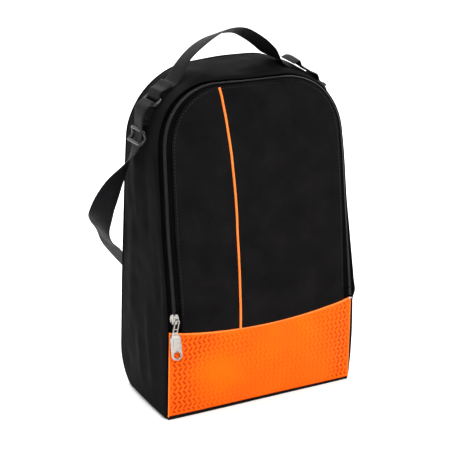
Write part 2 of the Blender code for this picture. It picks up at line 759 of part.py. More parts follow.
def make_strap_end(material):
    """The strap's right end turns round the ring's lower bar and is sewn back over itself."""
    bar = Vector((LOWER_BAR[0], 0.0, LOWER_BAR[1]))
    end = Vector(STRAP_ROUTE[-1][0])
    before = Vector(STRAP_ROUTE[-2][0])
    down = Vector((before.x - end.x, 0.0, before.z - end.z)).normalized()
    out = Vector((-down.z, 0.0, down.x))
    spread = WEBBING + 2 * GAP
    inner = [end + down * SEWN_LENGTH - out * spread, end - down * SEWN_RISE - out * spread]
    turn = []
    for i in range(7):
        angle = math.pi * (i / 6)
        turn.append(bar + (-out * math.cos(angle) - down * math.sin(angle)) * BAR_WRAP)
    outer = [end - down * SEWN_RISE + out * spread, end + down * SEWN_LENGTH + out * spread]
    ribbon("strap_sewn_end", inner + turn + outer, ACROSS_Y, WEBBING_WIDTH, WEBBING, material)


def adjuster_frame():
    along = Vector((ADJUSTER_LEAN, 0.0, 1.0)).normalized()
    out = Vector((-along.z, 0.0, along.x))
    return Vector(ADJUSTER_CENTRE), Vector((0, 1, 0)), along, out


def make_adjuster(material, pivot):
    """A frame with two outer bars in front of the webbing and a centre bar behind it."""
    frame = adjuster_frame()
    rail_y = WEBBING_WIDTH / 2 + ADJUSTER_RAIL_CLEARANCE
    centre = (rail_y, 0, -ADJUSTER_RAIL_BACK)
    rail = box("strap_adjuster", centre, ADJUSTER_RAIL_SIZE, frame, material, pivot)
    centre = (-rail_y, 0, -ADJUSTER_RAIL_BACK)
    other = box("other_rail", centre, ADJUSTER_RAIL_SIZE, frame, material, pivot)
    bars = []
    size = (ADJUSTER_BAR_LENGTH, *END_BAR_SECTION)
    for along, out in END_BAR_PLACES:
        bars.append(box("end_bar", (0, along, out), size, frame, material, pivot))
    size = (ADJUSTER_BAR_LENGTH, *CENTRE_BAR_SECTION)
    bars.append(box("centre_bar", (0, 0, -CENTRE_BAR_BACK), size, frame, material, pivot))
    unite(rail, [*bars, other])


def make_return_strand(material, pivot):
    """Down the inner side to the adjuster's centre bar, and round it."""
    origin, _, along, out = adjuster_frame()
    centre_bar = origin - out * CENTRE_BAR_BACK
    turn = RETURN_TURN
    path = [INNER_TOP.lerp(INNER_FOOT, LEAD_SHARE + 0.06), INNER_FOOT]
    for i in range(6):
        angle = math.pi * i / 5
        path.append(centre_bar - out * turn * math.cos(angle) - along * turn * math.sin(angle))
    ribbon("strap_return", path, ACROSS_Y, WEBBING_WIDTH, WEBBING, material, pivot)


def main():
    clear_scene()
    finish = {name: make_material(name) for name in COLOURS}
    black = finish["black_cloth"]
    make_gusset(black)
    make_back_panel(black)
    make_base(black, finish["base_board"])
    make_lower_front(finish["orange_cloth"], finish["orange_piping"])
    make_bindings(black)
    make_outer_zip(finish["zip_black"], finish["zip_black"], finish["nickel"])
    fold = make_pivot("flap_fold", (0.0, FRONT_Y_FOLD + CLOTH / 2, FOLD_Z))
    zips = finish["zip_black"]
    make_flap(black, finish["orange_piping"], zips, zips, fold)
    place = slider_frame()[0]
    make_slider(finish["nickel"], make_pivot("zip_slide", place))
    pivot_place = on_flap(place.x, PULL_PIVOT_Z, PULL_PIVOT_OUT)
    make_pull(finish["nickel"], make_pivot("pull_swing", pivot_place))
    webbing = finish["webbing"]
    make_anchors(webbing)
    make_ring_tabs(webbing)
    make_handle(webbing, make_pivot("handle_fold", (0.0, 0.0, HANDLE_FOLD_Z)))
    for side in (-1, 1):
        make_ring(side, finish["black_plastic"])
    make_strap_lead(webbing)
    make_strap_end(webbing)
    lift = make_pivot("strap_lift", (0.0, 0.0, LOWER_BAR[1]))
    make_strap(webbing, lift)
    make_return_strand(webbing, lift)
    make_adjuster(finish["black_plastic"], make_pivot("adjuster_slide", ADJUSTER_CENTRE))


main()
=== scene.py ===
import math

import bpy
import numpy as np
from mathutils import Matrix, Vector


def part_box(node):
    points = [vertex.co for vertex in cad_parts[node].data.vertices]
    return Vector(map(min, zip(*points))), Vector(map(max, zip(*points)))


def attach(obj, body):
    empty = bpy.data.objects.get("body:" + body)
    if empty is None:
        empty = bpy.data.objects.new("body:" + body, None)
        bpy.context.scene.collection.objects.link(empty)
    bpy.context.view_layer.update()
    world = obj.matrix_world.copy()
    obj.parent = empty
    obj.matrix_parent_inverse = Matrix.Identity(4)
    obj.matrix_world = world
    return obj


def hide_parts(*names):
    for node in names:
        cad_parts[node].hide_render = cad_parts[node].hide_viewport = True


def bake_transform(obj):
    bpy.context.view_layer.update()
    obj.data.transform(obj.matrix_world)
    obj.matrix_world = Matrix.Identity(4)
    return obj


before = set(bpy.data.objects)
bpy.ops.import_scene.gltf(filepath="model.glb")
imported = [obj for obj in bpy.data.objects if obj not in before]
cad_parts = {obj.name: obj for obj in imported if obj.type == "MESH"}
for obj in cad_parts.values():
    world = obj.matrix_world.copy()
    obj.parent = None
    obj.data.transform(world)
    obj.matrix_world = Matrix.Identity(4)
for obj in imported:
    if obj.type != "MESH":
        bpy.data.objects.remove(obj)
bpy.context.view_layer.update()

# ------------------------------------------------------------ the CAD's driving sizes, in metres

HALF_WIDTH_BASE = 0.1085
HALF_WIDTH_SHOULDER = 0.1051
SHOULDER_Z = 0.274
TOP_Z = 0.342
CORNER_RADIUS = TOP_Z - SHOULDER_Z
CORNER_X = HALF_WIDTH_SHOULDER - CORNER_RADIUS
FOLD_Z = 0.097
FRONT_Y_BASE = -0.057
FRONT_Y_FOLD = -0.060
FRONT_Y_TOP = -0.034
BACK_Y_BASE = 0.057
BACK_Y_TOP = 0.035
BACK_CORNER_RADIUS = 0.040
PANEL_SAG = 0.0105
WEBBING_WIDTH = 0.025
WEBBING = 0.0013
RING_BAR = 0.0016
RING_HALF_LENGTH = 0.0148
UPPER_BAR = (0.0898, 0.3225)
LOWER_BAR = (0.0972, 0.3171)
SLIDER_Z = 0.110

FLAP_LEAN = math.atan2(FRONT_Y_TOP - FRONT_Y_FOLD, TOP_Z - FOLD_Z)
FLAP_OUT = np.array((0.0, -math.cos(FLAP_LEAN), math.sin(FLAP_LEAN)))
FLAP_UP = np.array((0.0, math.sin(FLAP_LEAN), math.cos(FLAP_LEAN)))
ACROSS_X = np.array((1.0, 0.0, 0.0))
ACROSS_Y = np.array((0.0, 1.0, 0.0))


def half_width(z):
    """Half the bag's width at a height on the straight part of its sides."""
    return HALF_WIDTH_BASE - (HALF_WIDTH_BASE - HALF_WIDTH_SHOULDER) * z / SHOULDER_Z


def front_y(z):
    """The front plane's depth: the orange panel leans out, and the flap above it leans back."""
    low = FRONT_Y_BASE + (FRONT_Y_FOLD - FRONT_Y_BASE) * z / FOLD_Z
    high = FRONT_Y_FOLD + (FRONT_Y_TOP - FRONT_Y_FOLD) * (z - FOLD_Z) / (TOP_Z - FOLD_Z)
    return np.where(z < FOLD_Z, low, high)


def back_y(z):
    """The back's depth, with its rounded lower edge."""
    drop = BACK_CORNER_RADIUS - np.clip(z, 0.0, BACK_CORNER_RADIUS)
    bow = np.sqrt(np.maximum(BACK_CORNER_RADIUS**2 - drop**2, 0.0))
    share = np.maximum(z - BACK_CORNER_RADIUS, 0.0) / (TOP_Z - BACK_CORNER_RADIUS)
    wall = BACK_Y_BASE + (BACK_Y_TOP - BACK_Y_BASE) * share
    return wall - BACK_CORNER_RADIUS + bow


def on_flap(x, z, out):
    """Points of the leaning front plane at height z, moved out of it."""
    y = FRONT_Y_FOLD + (z - FOLD_Z) * math.tan(FLAP_LEAN)
    return np.stack([x, y, z], axis=-1) + np.multiply.outer(out, FLAP_OUT)


def panel_top_z(x):
    return FOLD_Z - PANEL_SAG * (1 - (x / half_width(FOLD_Z)) ** 2)


def smoothstep(value, low, high):
    t = np.clip((value - low) / (high - low), 0.0, 1.0)
    return t * t * (3 - 2 * t)


# ------------------------------------------------------------ small helpers


def unit(vector):
    vector = np.asarray(vector, float)
    return vector / np.linalg.norm(vector, axis=-1, keepdims=True)


def smooth_path(points, steps):
    """A Catmull-Rom curve through the points."""
    points = np.asarray(points, float)
    ends = np.vstack([2 * points[0] - points[1], points, 2 * points[-1] - points[-2]])
    path = []
    for i in range(1, len(ends) - 2):
        before, start, stop, after = ends[i - 1 : i + 3]
        for step in range(steps):
            t = step / steps
            bend = 2 * before - 5 * start + 4 * stop - after
            twist = 3 * start - before - 3 * stop + after
            path.append(0.5 * (2 * start + (stop - before) * t + bend * t**2 + twist * t**3))
    return np.array(path + [points[-1]])


def make_wobble(seed, size, octaves=3):
    """A smooth, seeded height function of a point, from -1 to 1, whose bumps are about the given size."""
    random = np.random.default_rng(seed)
    waves = []
    for octave in range(octaves):
        for _ in range(5):
            turn = unit(random.normal(size=3)) * 2 * math.pi / size * 1.9**octave
            waves.append((turn, random.uniform(0, 2 * math.pi), 0.55**octave))

    def height(points):
        total = sum(np.sin(points @ turn + phase) * share for turn, phase, share in waves)
        return total / sum(share for _, _, share in waves) * 1.8

    return height


def crease(points, start, stop, width, height):
    """A soft ridge along a line between two places, or a valley where height is negative."""
    start, stop = np.array(start), np.array(stop)
    run = stop - start
    share = np.clip((points - start) @ run / (run @ run), 0.0, 1.0)
    gap = np.linalg.norm(points - start - share[..., None] * run, axis=-1)
    fade = np.sin(math.pi * np.clip(share, 0.02, 0.98)) ** 0.5
    return height * fade * np.exp(-((gap / width) ** 2))


def new_mesh(name, points, faces, material, uvs=None):
    mesh = bpy.data.meshes.new(name)
    mesh.from_pydata([tuple(point) for point in points], [], [tuple(face) for face in faces])
    mesh.materials.append(material)
    if uvs is not None:
        layer = mesh.uv_layers.new(name="cloth")
        loops = np.empty(len(mesh.loops), np.int32)
        mesh.loops.foreach_get("vertex_index", loops)
        layer.data.foreach_set("uv", np.asarray(uvs, np.float32)[loops].ravel())
    mesh.update()
    mesh.shade_smooth()
    thing = bpy.data.objects.new(name, mesh)
    bpy.context.scene.collection.objects.link(thing)
    return thing


def grid_faces(rows, columns, wrap=False, offset=0):
    faces = []
    for i in range(rows - 1):
        for j in range(columns if wrap else columns - 1):
            k = (j + 1) % columns
            low = offset + i * columns
            faces.append((low + j, low + k, low + columns + k, low + columns + j))
    return faces


def lengths_along(points):
    steps = np.linalg.norm(np.diff(points, axis=0), axis=-1)
    return np.concatenate([[0.0], np.cumsum(steps)])


def band_uvs(across, along):
    """UVs of a swept band: each section's distances across it, at each distance along it."""
    return np.stack(np.broadcast_arrays(across[None, :], along[:, None]), axis=-1).reshape(-1, 2)


def grid_uvs(points):
    """Each point's distance along its column and its row, so that a weave keeps its size."""
    rows, columns = points.shape[:2]
    middle = points[:, columns // 2]
    along = lengths_along(middle)
    across = np.array([lengths_along(row) - lengths_along(row)[columns // 2] for row in points])
    return np.stack([across, np.repeat(along[:, None], columns, axis=1)], axis=-1)


def normals_of(points, outward):
    """Normals of a grid of points, on the side that outward points to."""
    du = np.gradient(points, axis=1)
    dv = np.gradient(points, axis=0)
    normals = np.cross(du, dv)
    normals = unit(normals + 1e-12)
    side = np.sign(np.sum(normals * outward, axis=-1, keepdims=True))
    return normals * np.where(side == 0, 1, side)


def cloth_sheet(name, points, material, thickness, outward):
    """A sheet with thickness, closed round its rim, whose outer face is the grid of points."""
    rows, columns = points.shape[:2]
    inner = points - normals_of(points, outward) * thickness
    flat = np.concatenate([points.reshape(-1, 3), inner.reshape(-1, 3)])
    count = rows * columns
    faces = grid_faces(rows, columns)
    faces += [face[::-1] for face in grid_faces(rows, columns, offset=count)]
    rim = [(0, j) for j in range(columns)] + [(i, columns - 1) for i in range(1, rows)]
    rim += [(rows - 1, j) for j in range(columns - 2, -1, -1)]
    rim += [(i, 0) for i in range(rows - 2, 0, -1)]
    rim = [i * columns + j for i, j in rim]
    for here, there in zip(rim, rim[1:] + rim[:1]):
        faces.append((there, here, here + count, there + count))
    uvs = grid_uvs(points).reshape(-1, 2)
    thing = new_mesh(name, flat, faces, material, np.concatenate([uvs, uvs]))
    return outside_out(thing)


def outside_out(thing):
    """Turns a closed mesh's faces outwards."""
    mesh = thing.data
    mesh.calc_loop_triangles()
    corners = np.empty(len(mesh.loop_triangles) * 3, np.int32)
    mesh.loop_triangles.foreach_get("vertices", corners)
    places = np.empty(len(mesh.vertices) * 3)
    mesh.vertices.foreach_get("co", places)
    triangles = places.reshape(-1, 3)[corners.reshape(-1, 3)]
    triangles = triangles - places.reshape(-1, 3).mean(axis=0)
    if np.linalg.det(triangles).sum() < 0:
        mesh.flip_normals()
    return thing


def swept(name, rings, material, closed=False, uvs=None, sharp=None):
    """A tube through rings of the same number of points, with its ends filled unless it closes on itself."""
    rings = np.asarray(rings, float)
    count, around = rings.shape[:2]
    points = rings.reshape(-1, 3)
    faces = grid_faces(count, around, wrap=True)
    if closed:
        last = (count - 1) * around
        for j in range(around):
            k = (j + 1) % around
            faces.append((last + j, last + k, k, j))
    else:
        faces.append(tuple(range(around))[::-1])
        faces.append(tuple(range((count - 1) * around, count * around)))
    thing = new_mesh(name, points, faces, material, uvs)
    if sharp:
        thing.data.set_sharp_from_angle(angle=math.radians(sharp))
    return outside_out(thing)


def frames_along(path, ups, closed):
    """The ways ahead, up and sideways at each point of a path."""
    if closed:
        ahead = np.roll(path, -1, axis=0) - np.roll(path, 1, axis=0)
    else:
        ahead = np.gradient(path, axis=0)
    ahead = unit(ahead)
    ups = np.broadcast_to(np.asarray(ups, float), path.shape)
    ups = unit(ups - np.sum(ups * ahead, axis=-1, keepdims=True) * ahead)
    return ahead, ups, np.cross(ahead, ups)


def rod(name, path, radius, material, up=(0.0, 0.0, 1.0), closed=False, around=12, flat=1.0):
    """A round or oval rod along a path. flat squeezes it along up."""
    path = np.asarray(path, float)
    _, ups, sides = frames_along(path, up, closed)
    turns = 2 * math.pi * np.arange(around) / around
    radii = np.broadcast_to(np.asarray(radius, float), (len(path),))
    rings = path[:, None] + radii[:, None, None] * (
        np.cos(turns)[None, :, None] * ups[:, None] * flat
        + np.sin(turns)[None, :, None] * sides[:, None]
    )
    return swept(name, rings, material, closed=closed)


def join_all(name, things):
    """One object from several, keeping their materials."""
    for thing in bpy.context.selected_objects:
        thing.select_set(False)
    for thing in things:
        thing.select_set(True)
    bpy.context.view_layer.objects.active = things[0]
    bpy.ops.object.join()
    things[0].name = name
    things[0].data.name = name
    things[0].select_set(False)
    return things[0]


def bevelled(thing, width):
    bevel = thing.modifiers.new("edge", "BEVEL")
    bevel.width = width
    bevel.segments = 2
    bevel.limit_method = "ANGLE"
    bevel.angle_limit = math.radians(35)
    return applied(thing)


def applied(thing):
    """Applies a thing's modifiers."""
    bpy.context.view_layer.update()
    graph = bpy.context.evaluated_depsgraph_get()
    final = bpy.data.meshes.new_from_object(thing.evaluated_get(graph), depsgraph=graph)
    thing.modifiers.clear()
    old = thing.data
    thing.data = final
    bpy.data.meshes.remove(old)
    final.name = thing.name
    return thing


def stitches(name, path, out, material, pitch=0.0036, length=0.0026, radius=0.00024):
    """A row of sewn stitches along a path, each a short rounded bar that dips into the cloth at its ends."""
    path = np.asarray(path, float)
    out = np.broadcast_to(np.asarray(out, float), path.shape)
    along = lengths_along(path)
    count = max(1, int(along[-1] / pitch))
    turns = 2 * math.pi * np.arange(6) / 6
    points = []
    faces = []
    for i in range(count):
        middle = (i + 0.5) * along[-1] / count
        spots = np.array([-0.5, -0.28, 0.28, 0.5]) * length + middle
        places = np.stack([np.interp(spots, along, path[:, k]) for k in range(3)], axis=-1)
        raised = unit(np.array([np.interp(middle, along, out[:, k]) for k in range(3)]))
        places += np.outer(np.array([-1.0, 0.5, 0.5, -1.0]) * radius, raised)
        ahead = unit(places[-1] - places[0])
        side = np.cross(ahead, raised)
        widths = radius * np.array([0.55, 1.0, 1.0, 0.55])
        base = len(points)
        for place, width in zip(places, widths):
            for turn in turns:
                points.append(place + width * (math.cos(turn) * raised + math.sin(turn) * side))
        faces += grid_faces(4, 6, wrap=True, offset=base)
        faces.append(tuple(base + j for j in range(6))[::-1])
        faces.append(tuple(base + 18 + j for j in range(6)))
    return outside_out(new_mesh(name, points, faces, material))


# ------------------------------------------------------------ materials


def new_material(name, colour, roughness, **settings):
    material = bpy.data.materials.new(name)
    material.use_nodes = True
    shader = material.node_tree.nodes["Principled BSDF"]
    shader.inputs["Base Color"].default_value = (*colour, 1.0)
    shader.inputs["Roughness"].default_value = roughness
    for socket, value in settings.items():
        shader.inputs[socket.replace("_", " ")].default_value = value
    return material


def maths(tree, operation, first, second=None):
    node = tree.nodes.new("ShaderNodeMath")
    node.operation = operation
    for socket, value in zip(node.inputs, (first, second)):
        if value is None:
            continue
        if isinstance(value, (int, float)):
            socket.default_value = value
        else:
            tree.links.new(value, socket)
    return node.outputs[0]


def noise(tree, scale, detail=2.0, roughness=0.5):
    """A noise in object space, in features per metre."""
    place = tree.nodes.new("ShaderNodeTexCoord").outputs["Object"]
    node = tree.nodes.new("ShaderNodeTexNoise")
    node.inputs["Scale"].default_value = scale
    node.inputs["Detail"].default_value = detail
    node.inputs["Roughness"].default_value = roughness
    tree.links.new(place, node.inputs["Vector"])
    return node.outputs["Fac"]


def ramp(tree, value, low, high, dark, light):
    """Mixes two colours by a value that goes from low to high."""
    spread = tree.nodes.new("ShaderNodeMapRange")
    spread.inputs["From Min"].default_value = low
    spread.inputs["From Max"].default_value = high
    tree.links.new(value, spread.inputs["Value"])
    mix = tree.nodes.new("ShaderNodeMix")
    mix.data_type = "RGBA"
    mix.inputs[6].default_value = (*dark, 1.0)
    mix.inputs[7].default_value = (*light, 1.0)
    tree.links.new(spread.outputs[0], mix.inputs[0])
    return mix.outputs[2]


def set_bump(tree, height):
    """height is in metres."""
    bump = tree.nodes.new("ShaderNodeBump")
    bump.inputs["Strength"].default_value = 1.0
    bump.inputs["Distance"].default_value = 1.0
    tree.links.new(height, bump.inputs["Height"])
    tree.links.new(bump.outputs[0], tree.nodes["Principled BSDF"].inputs["Normal"])


def spread_roughness(tree, value, low, high):
    spread = tree.nodes.new("ShaderNodeMapRange")
    spread.inputs["From Min"].default_value = 0.3
    spread.inputs["From Max"].default_value = 0.7
    spread.inputs["To Min"].default_value = low
    spread.inputs["To Max"].default_value = high
    tree.links.new(value, spread.inputs["Value"])
    tree.links.new(spread.outputs[0], tree.nodes["Principled BSDF"].inputs["Roughness"])


def cloth_uv(tree):
    """The cloth's own two directions, in metres."""
    place = tree.nodes.new("ShaderNodeUVMap")
    place.uv_map = "cloth"
    split = tree.nodes.new("ShaderNodeSeparateXYZ")
    tree.links.new(place.outputs[0], split.inputs[0])
    return split.outputs[0], split.outputs[1]


def wave_of(tree, value, period):
    return maths(tree, "SINE", maths(tree, "MULTIPLY", value, 2 * math.pi / period))


def woven_material(name, dark, light, period, depth, roughness, **settings):
    """Plain woven cloth: over and under threads, with a soft mottle."""
    material = new_material(name, light, roughness[0], **settings)
    tree = material.node_tree
    u, v = cloth_uv(tree)
    weave = maths(tree, "MULTIPLY", wave_of(tree, u, period), wave_of(tree, v, period))
    mottle = noise(tree, 38.0, 4.0, 0.6)
    grain = noise(tree, 900.0, 2.0)
    colour_by = maths(tree, "ADD", mottle, maths(tree, "MULTIPLY", weave, 0.16))
    tint = ramp(tree, colour_by, 0.25, 0.85, dark, light)
    tree.links.new(tint, tree.nodes["Principled BSDF"].inputs["Base Color"])
    spread_roughness(tree, mottle, *roughness)
    threads = maths(tree, "MULTIPLY", weave, depth)
    height = maths(tree, "ADD", threads, maths(tree, "MULTIPLY", grain, depth * 1.2))
    set_bump(tree, height)
    return material


def webbing_material(name, dark, light, roughness, **settings):
    """Ribbed webbing: cords run along it, and a finer weave crosses them."""
    material = new_material(name, light, roughness[0], **settings)
    tree = material.node_tree
    across, along = cloth_uv(tree)
    ribs = wave_of(tree, across, 0.0016)
    slant = maths(tree, "ADD", along, maths(tree, "MULTIPLY", maths(tree, "ABSOLUTE", ribs), 0.0004))
    picks = wave_of(tree, slant, 0.0011)
    mottle = noise(tree, 160.0, 3.0)
    body = maths(tree, "ADD", ribs, maths(tree, "MULTIPLY", picks, 0.6))
    colour_by = maths(tree, "ADD", mottle, maths(tree, "MULTIPLY", body, 0.30))
    tint = ramp(tree, colour_by, 0.25, 0.85, dark, light)
    tree.links.new(tint, tree.nodes["Principled BSDF"].inputs["Base Color"])
    spread_roughness(tree, mottle, *roughness)
    set_bump(tree, maths(tree, "MULTIPLY", body, 0.00011))
    return material


def orange_material():
    """Laminated cloth. Its dents are in the mesh, and painted shade darkens their colour a little by their
    depth.
    """
    material = new_material("orange_cloth", (1.0, 0.14, 0.0), 0.5, Specular_IOR_Level=0.06)
    tree = material.node_tree
    depth = tree.nodes.new("ShaderNodeAttribute")
    depth.attribute_name = "dent_and_shade"
    mottle = noise(tree, 30.0, 3.0)
    grain = noise(tree, 1400.0, 2.0)
    plain = ramp(tree, mottle, 0.3, 0.7, (0.78, 0.094, 0.0), (0.88, 0.114, 0.0))
    # A darker, redder tone is mixed in by the dent mask: painted shade in the dents.
    mix = tree.nodes.new("ShaderNodeMix")
    mix.data_type = "RGBA"
    mix.inputs[7].default_value = (0.43, 0.030, 0.0, 1.0)
    tree.links.new(plain, mix.inputs[6])
    tree.links.new(depth.outputs["Fac"], mix.inputs[0])
    tree.links.new(mix.outputs[2], tree.nodes["Principled BSDF"].inputs["Base Color"])
    spread_roughness(tree, mottle, 0.42, 0.55)
    u, v = cloth_uv(tree)
    weave = maths(tree, "MULTIPLY", wave_of(tree, u, 0.0007), wave_of(tree, v, 0.0007))
    threads = maths(tree, "MULTIPLY", weave, 0.00001)
    set_bump(tree, maths(tree, "ADD", threads, maths(tree, "MULTIPLY", grain, 0.00004)))
    return material


def plain_material(name, dark, light, roughness, bump_scale, bump, **settings):
    """A moulded or plated surface with slight variation."""
    material = new_material(name, light, roughness[0], **settings)
    tree = material.node_tree
    mottle = noise(tree, 120.0, 3.0)
    tint = ramp(tree, mottle, 0.3, 0.7, dark, light)
    tree.links.new(tint, tree.nodes["Principled BSDF"].inputs["Base Color"])
    spread_roughness(tree, mottle, *roughness)
    fine = noise(tree, bump_scale, 2.0)
    set_bump(tree, maths(tree, "MULTIPLY", fine, bump))
    return material


SHEEN = {"Sheen_Weight": 0.001, "Sheen_Roughness": 0.40, "Specular_IOR_Level": 0.008}
CLOTH = woven_material(
    "black_cloth",
    dark=(0.0036, 0.0034, 0.0038),
    light=(0.0084, 0.0078, 0.0082),
    period=0.00075,
    depth=0.00005,
    roughness=(0.50, 0.66),
    **SHEEN,
)
LINING = woven_material(
    "base_cloth",
    dark=(0.0024, 0.0024, 0.0028),
    light=(0.005, 0.005, 0.006),
    period=0.0010,
    depth=0.00006,
    roughness=(0.6, 0.75),
    Specular_IOR_Level=0.07,
)
# The tape is darker than the cloth. This is partly its own black and partly painted shade of the recess it
# lies in.
TAPE = woven_material(
    "zip_tape",
    dark=(0.0010, 0.0010, 0.0012),
    light=(0.0026, 0.0026, 0.0030),
    period=0.0009,
    depth=0.00006,
    roughness=(0.5, 0.66),
    **SHEEN,
)
# The piping cord's orange. The orange panel's hem and side folds take it too, where its lighter tone is a
# painted highlight along the folded edge.
PIPING_AND_EDGE_HIGHLIGHT = woven_material(
    "orange_piping",
    dark=(0.80, 0.155, 0.018),
    light=(0.92, 0.215, 0.038),
    period=0.0007,
    depth=0.00004,
    roughness=(0.5, 0.62),
    Specular_IOR_Level=0.15,
)
WEB = webbing_material(
    "webbing",
    dark=(0.0020, 0.0020, 0.0024),
    light=(0.0100, 0.0100, 0.0112),
    roughness=(0.46, 0.62),
    Sheen_Weight=0.006,
    Sheen_Roughness=0.35,
    Specular_IOR_Level=0.05,
)
ORANGE = orange_material()
COIL = plain_material(
    "zip_coil",
    dark=(0.004, 0.004, 0.005),
    light=(0.008, 0.008, 0.009),
    roughness=(0.28, 0.40),
    bump_scale=900,
    bump=0.00001,
    Specular_IOR_Level=0.35,
)
THREAD = plain_material(
    "thread",
    dark=(0.004, 0.004, 0.005),
    light=(0.010, 0.010, 0.011),
    roughness=(0.42, 0.55),
    bump_scale=1500,
    bump=0.00003,
    Specular_IOR_Level=0.25,
)
STITCH_ORANGE = plain_material(
    "orange_thread",
    dark=(0.42, 0.05, 0.0),
    light=(0.55, 0.07, 0.0),
    roughness=(0.45, 0.6),
    bump_scale=1500,
    bump=0.00002,
    Specular_IOR_Level=0.1,
)
NICKEL = plain_material(
    "nickel",
    dark=(0.26, 0.245, 0.225),
    light=(0.44, 0.42, 0.39),
    roughness=(0.18, 0.28),
    bump_scale=500,
    bump=0.00002,
    Metallic=1.0,
)
PLASTIC = plain_material(
    "black_plastic",
    dark=(0.003, 0.003, 0.0035),
    light=(0.006, 0.006, 0.007),
    roughness=(0.22, 0.34),
    bump_scale=700,
    bump=0.00002,
    Specular_IOR_Level=0.42,
)
BOARD = plain_material(
    "base_board",
    dark=(0.03, 0.03, 0.033),
    light=(0.05, 0.05, 0.055),
    roughness=(0.5, 0.65),
    bump_scale=400,
    bump=0.00005,
)

# ------------------------------------------------------------ the outline, from the left foot over the top

LEG = SHOULDER_Z
ARC = CORNER_RADIUS * math.pi / 2
FLAT = 2 * CORNER_X
TOTAL = 2 * LEG + 2 * ARC + FLAT
TOP_LEFT = LEG + ARC
TOP_RIGHT = TOTAL - TOP_LEFT
CORNER_WALK = LEG + ARC * 0.55


def outline_at(walk):
    """The outline's place and outward normal, both as (x, z), at a distance walked along it."""
    side = 1.0 if walk > TOTAL / 2 else -1.0
    left = min(walk, TOTAL - walk)
    if left <= LEG:
        return np.array((side * half_width(left), left)), np.array((side, 0.0))
    if left <= LEG + ARC:
        turn = (left - LEG) / CORNER_RADIUS
        x, z = math.cos(turn), math.sin(turn)
        place = (side * (CORNER_X + CORNER_RADIUS * x), SHOULDER_Z + CORNER_RADIUS * z)
        return np.array(place), np.array((side * x, z))
    return np.array((side * (CORNER_X - (left - LEG - ARC)), TOP_Z)), np.array((0.0, 1.0))


def right_leg(z):
    return TOTAL - z


# How the zip strip sits round the outline: where, the flap edge's inset, and the strip's roll in degrees
STRIP_KEYS = (
    (0.090, 0.0142, 20),
    (0.126, 0.0141, 22),
    (0.190, 0.0120, 22),
    (0.250, 0.0122, 23),
    (0.285, 0.0126, 28),
    (LEG + ARC * 0.5, 0.0096, 50),
    (LEG + ARC * 0.9, 0.0076, 74),
    (TOTAL / 2, 0.0078, 80),
    (TOP_RIGHT + ARC * 0.1, 0.0080, 78),
    (TOP_RIGHT + ARC * 0.5, 0.0070, 66),
    (right_leg(0.285), 0.0078, 50),
    (right_leg(0.250), 0.0068, 45),
    (right_leg(0.200), 0.0070, 41),
    (right_leg(0.147), 0.0082, 23),
    (right_leg(0.110), 0.0092, 8),
    (right_leg(0.090), 0.0096, 5),
)
STRIP_WIDTH = 0.0128
COIL_PLACE = 0.0073
COIL_HALF = 0.0019
EDGE_OUT = 0.0016

FINE = np.linspace(0, TOTAL, 1400)


def smooth_keys(places, values, spread=30):
    """The values between keys, with the corners rounded off."""
    line = np.interp(FINE, places, values)
    window = np.hanning(2 * spread + 1)
    window /= window.sum()
    return np.convolve(np.pad(line, spread, mode="edge"), window, mode="valid")


STRIP_IN = smooth_keys([key[0] for key in STRIP_KEYS], [key[1] for key in STRIP_KEYS])
STRIP_ROLL = smooth_keys([key[0] for key in STRIP_KEYS], [math.radians(key[2]) for key in STRIP_KEYS])


def strip_frame(walk):
    """The flap edge's place, the way across the strip to its outer seam, and the strip's normal."""
    place, normal = outline_at(walk)
    inset = np.interp(walk, FINE, STRIP_IN)
    roll = np.interp(walk, FINE, STRIP_ROLL)
    outward = normal[0] * ACROSS_X + normal[1] * FLAP_UP
    edge = on_flap(place[0], place[1], EDGE_OUT) - outward * inset
    across = outward * math.cos(roll) - FLAP_OUT * math.sin(roll)
    out = FLAP_OUT * math.cos(roll) + outward * math.sin(roll)
    return edge, across, out


def strip_point(walk, distance, height):
    """A place on the zip strip, which bows a little between its two edges."""
    edge, across, out = strip_frame(walk)
    bow = 0.0006 * math.sin(math.pi * min(max(distance / STRIP_WIDTH, 0.0), 1.0))
    return edge + across * distance + out * (height + bow)


def seam_point(walk):
    """The front edge of the gusset: the zip's outer seam above the fold, the orange panel's side below it."""
    seam = strip_point(walk, STRIP_WIDTH, 0.0002)
    place, _ = outline_at(walk)
    if place[1] > FOLD_Z + 0.008:
        return seam
    side = np.sign(place[0])
    low = np.array((side * (half_width(place[1]) - 0.0004), float(front_y(place[1])) + 0.0010, place[1]))
    share = smoothstep(place[1], FOLD_Z - 0.006, FOLD_Z + 0.008)
    return low * (1 - share) + seam * share


# How far in from the outline the gusset is at y = 0 and at its back seam
MIDDLE_KEYS = (
    (0.0, 0.0008), (0.03, 0.0), (0.10, -0.0006), (0.17, -0.0006), (0.24, 0.0004), (LEG + ARC * 0.2, 0.0006),
    (TOTAL / 2, 0.0), (right_leg(0.290), 0.0), (right_leg(0.24), -0.0004), (right_leg(0.17), -0.0016),
    (right_leg(0.09), -0.0044), (right_leg(0.03), -0.0026), (TOTAL, 0.0),
)
BACK_KEYS = (
    (0.0, 0.0022), (0.12, 0.0014), (0.24, 0.0022), (LEG + ARC * 0.3, 0.0034), (LEG + ARC * 0.6, 0.0022),
    (TOP_LEFT, -0.0016), (TOTAL / 2, -0.0046), (TOP_RIGHT, -0.0042), (TOP_RIGHT + ARC * 0.4, 0.0006),
    (right_leg(0.285), 0.0022), (right_leg(0.20), 0.0006), (right_leg(0.09), -0.0012), (TOTAL, 0.0010),
)
MIDDLE_IN = smooth_keys([key[0] for key in MIDDLE_KEYS], [key[1] for key in MIDDLE_KEYS])
BACK_IN = smooth_keys([key[0] for key in BACK_KEYS], [key[1] for key in BACK_KEYS])

SIDE_ROLL = 0.0050
BACK_SET_IN = 0.0006
side_wobble = make_wobble(11, 0.085)
small_wobble = make_wobble(23, 0.028, 2)

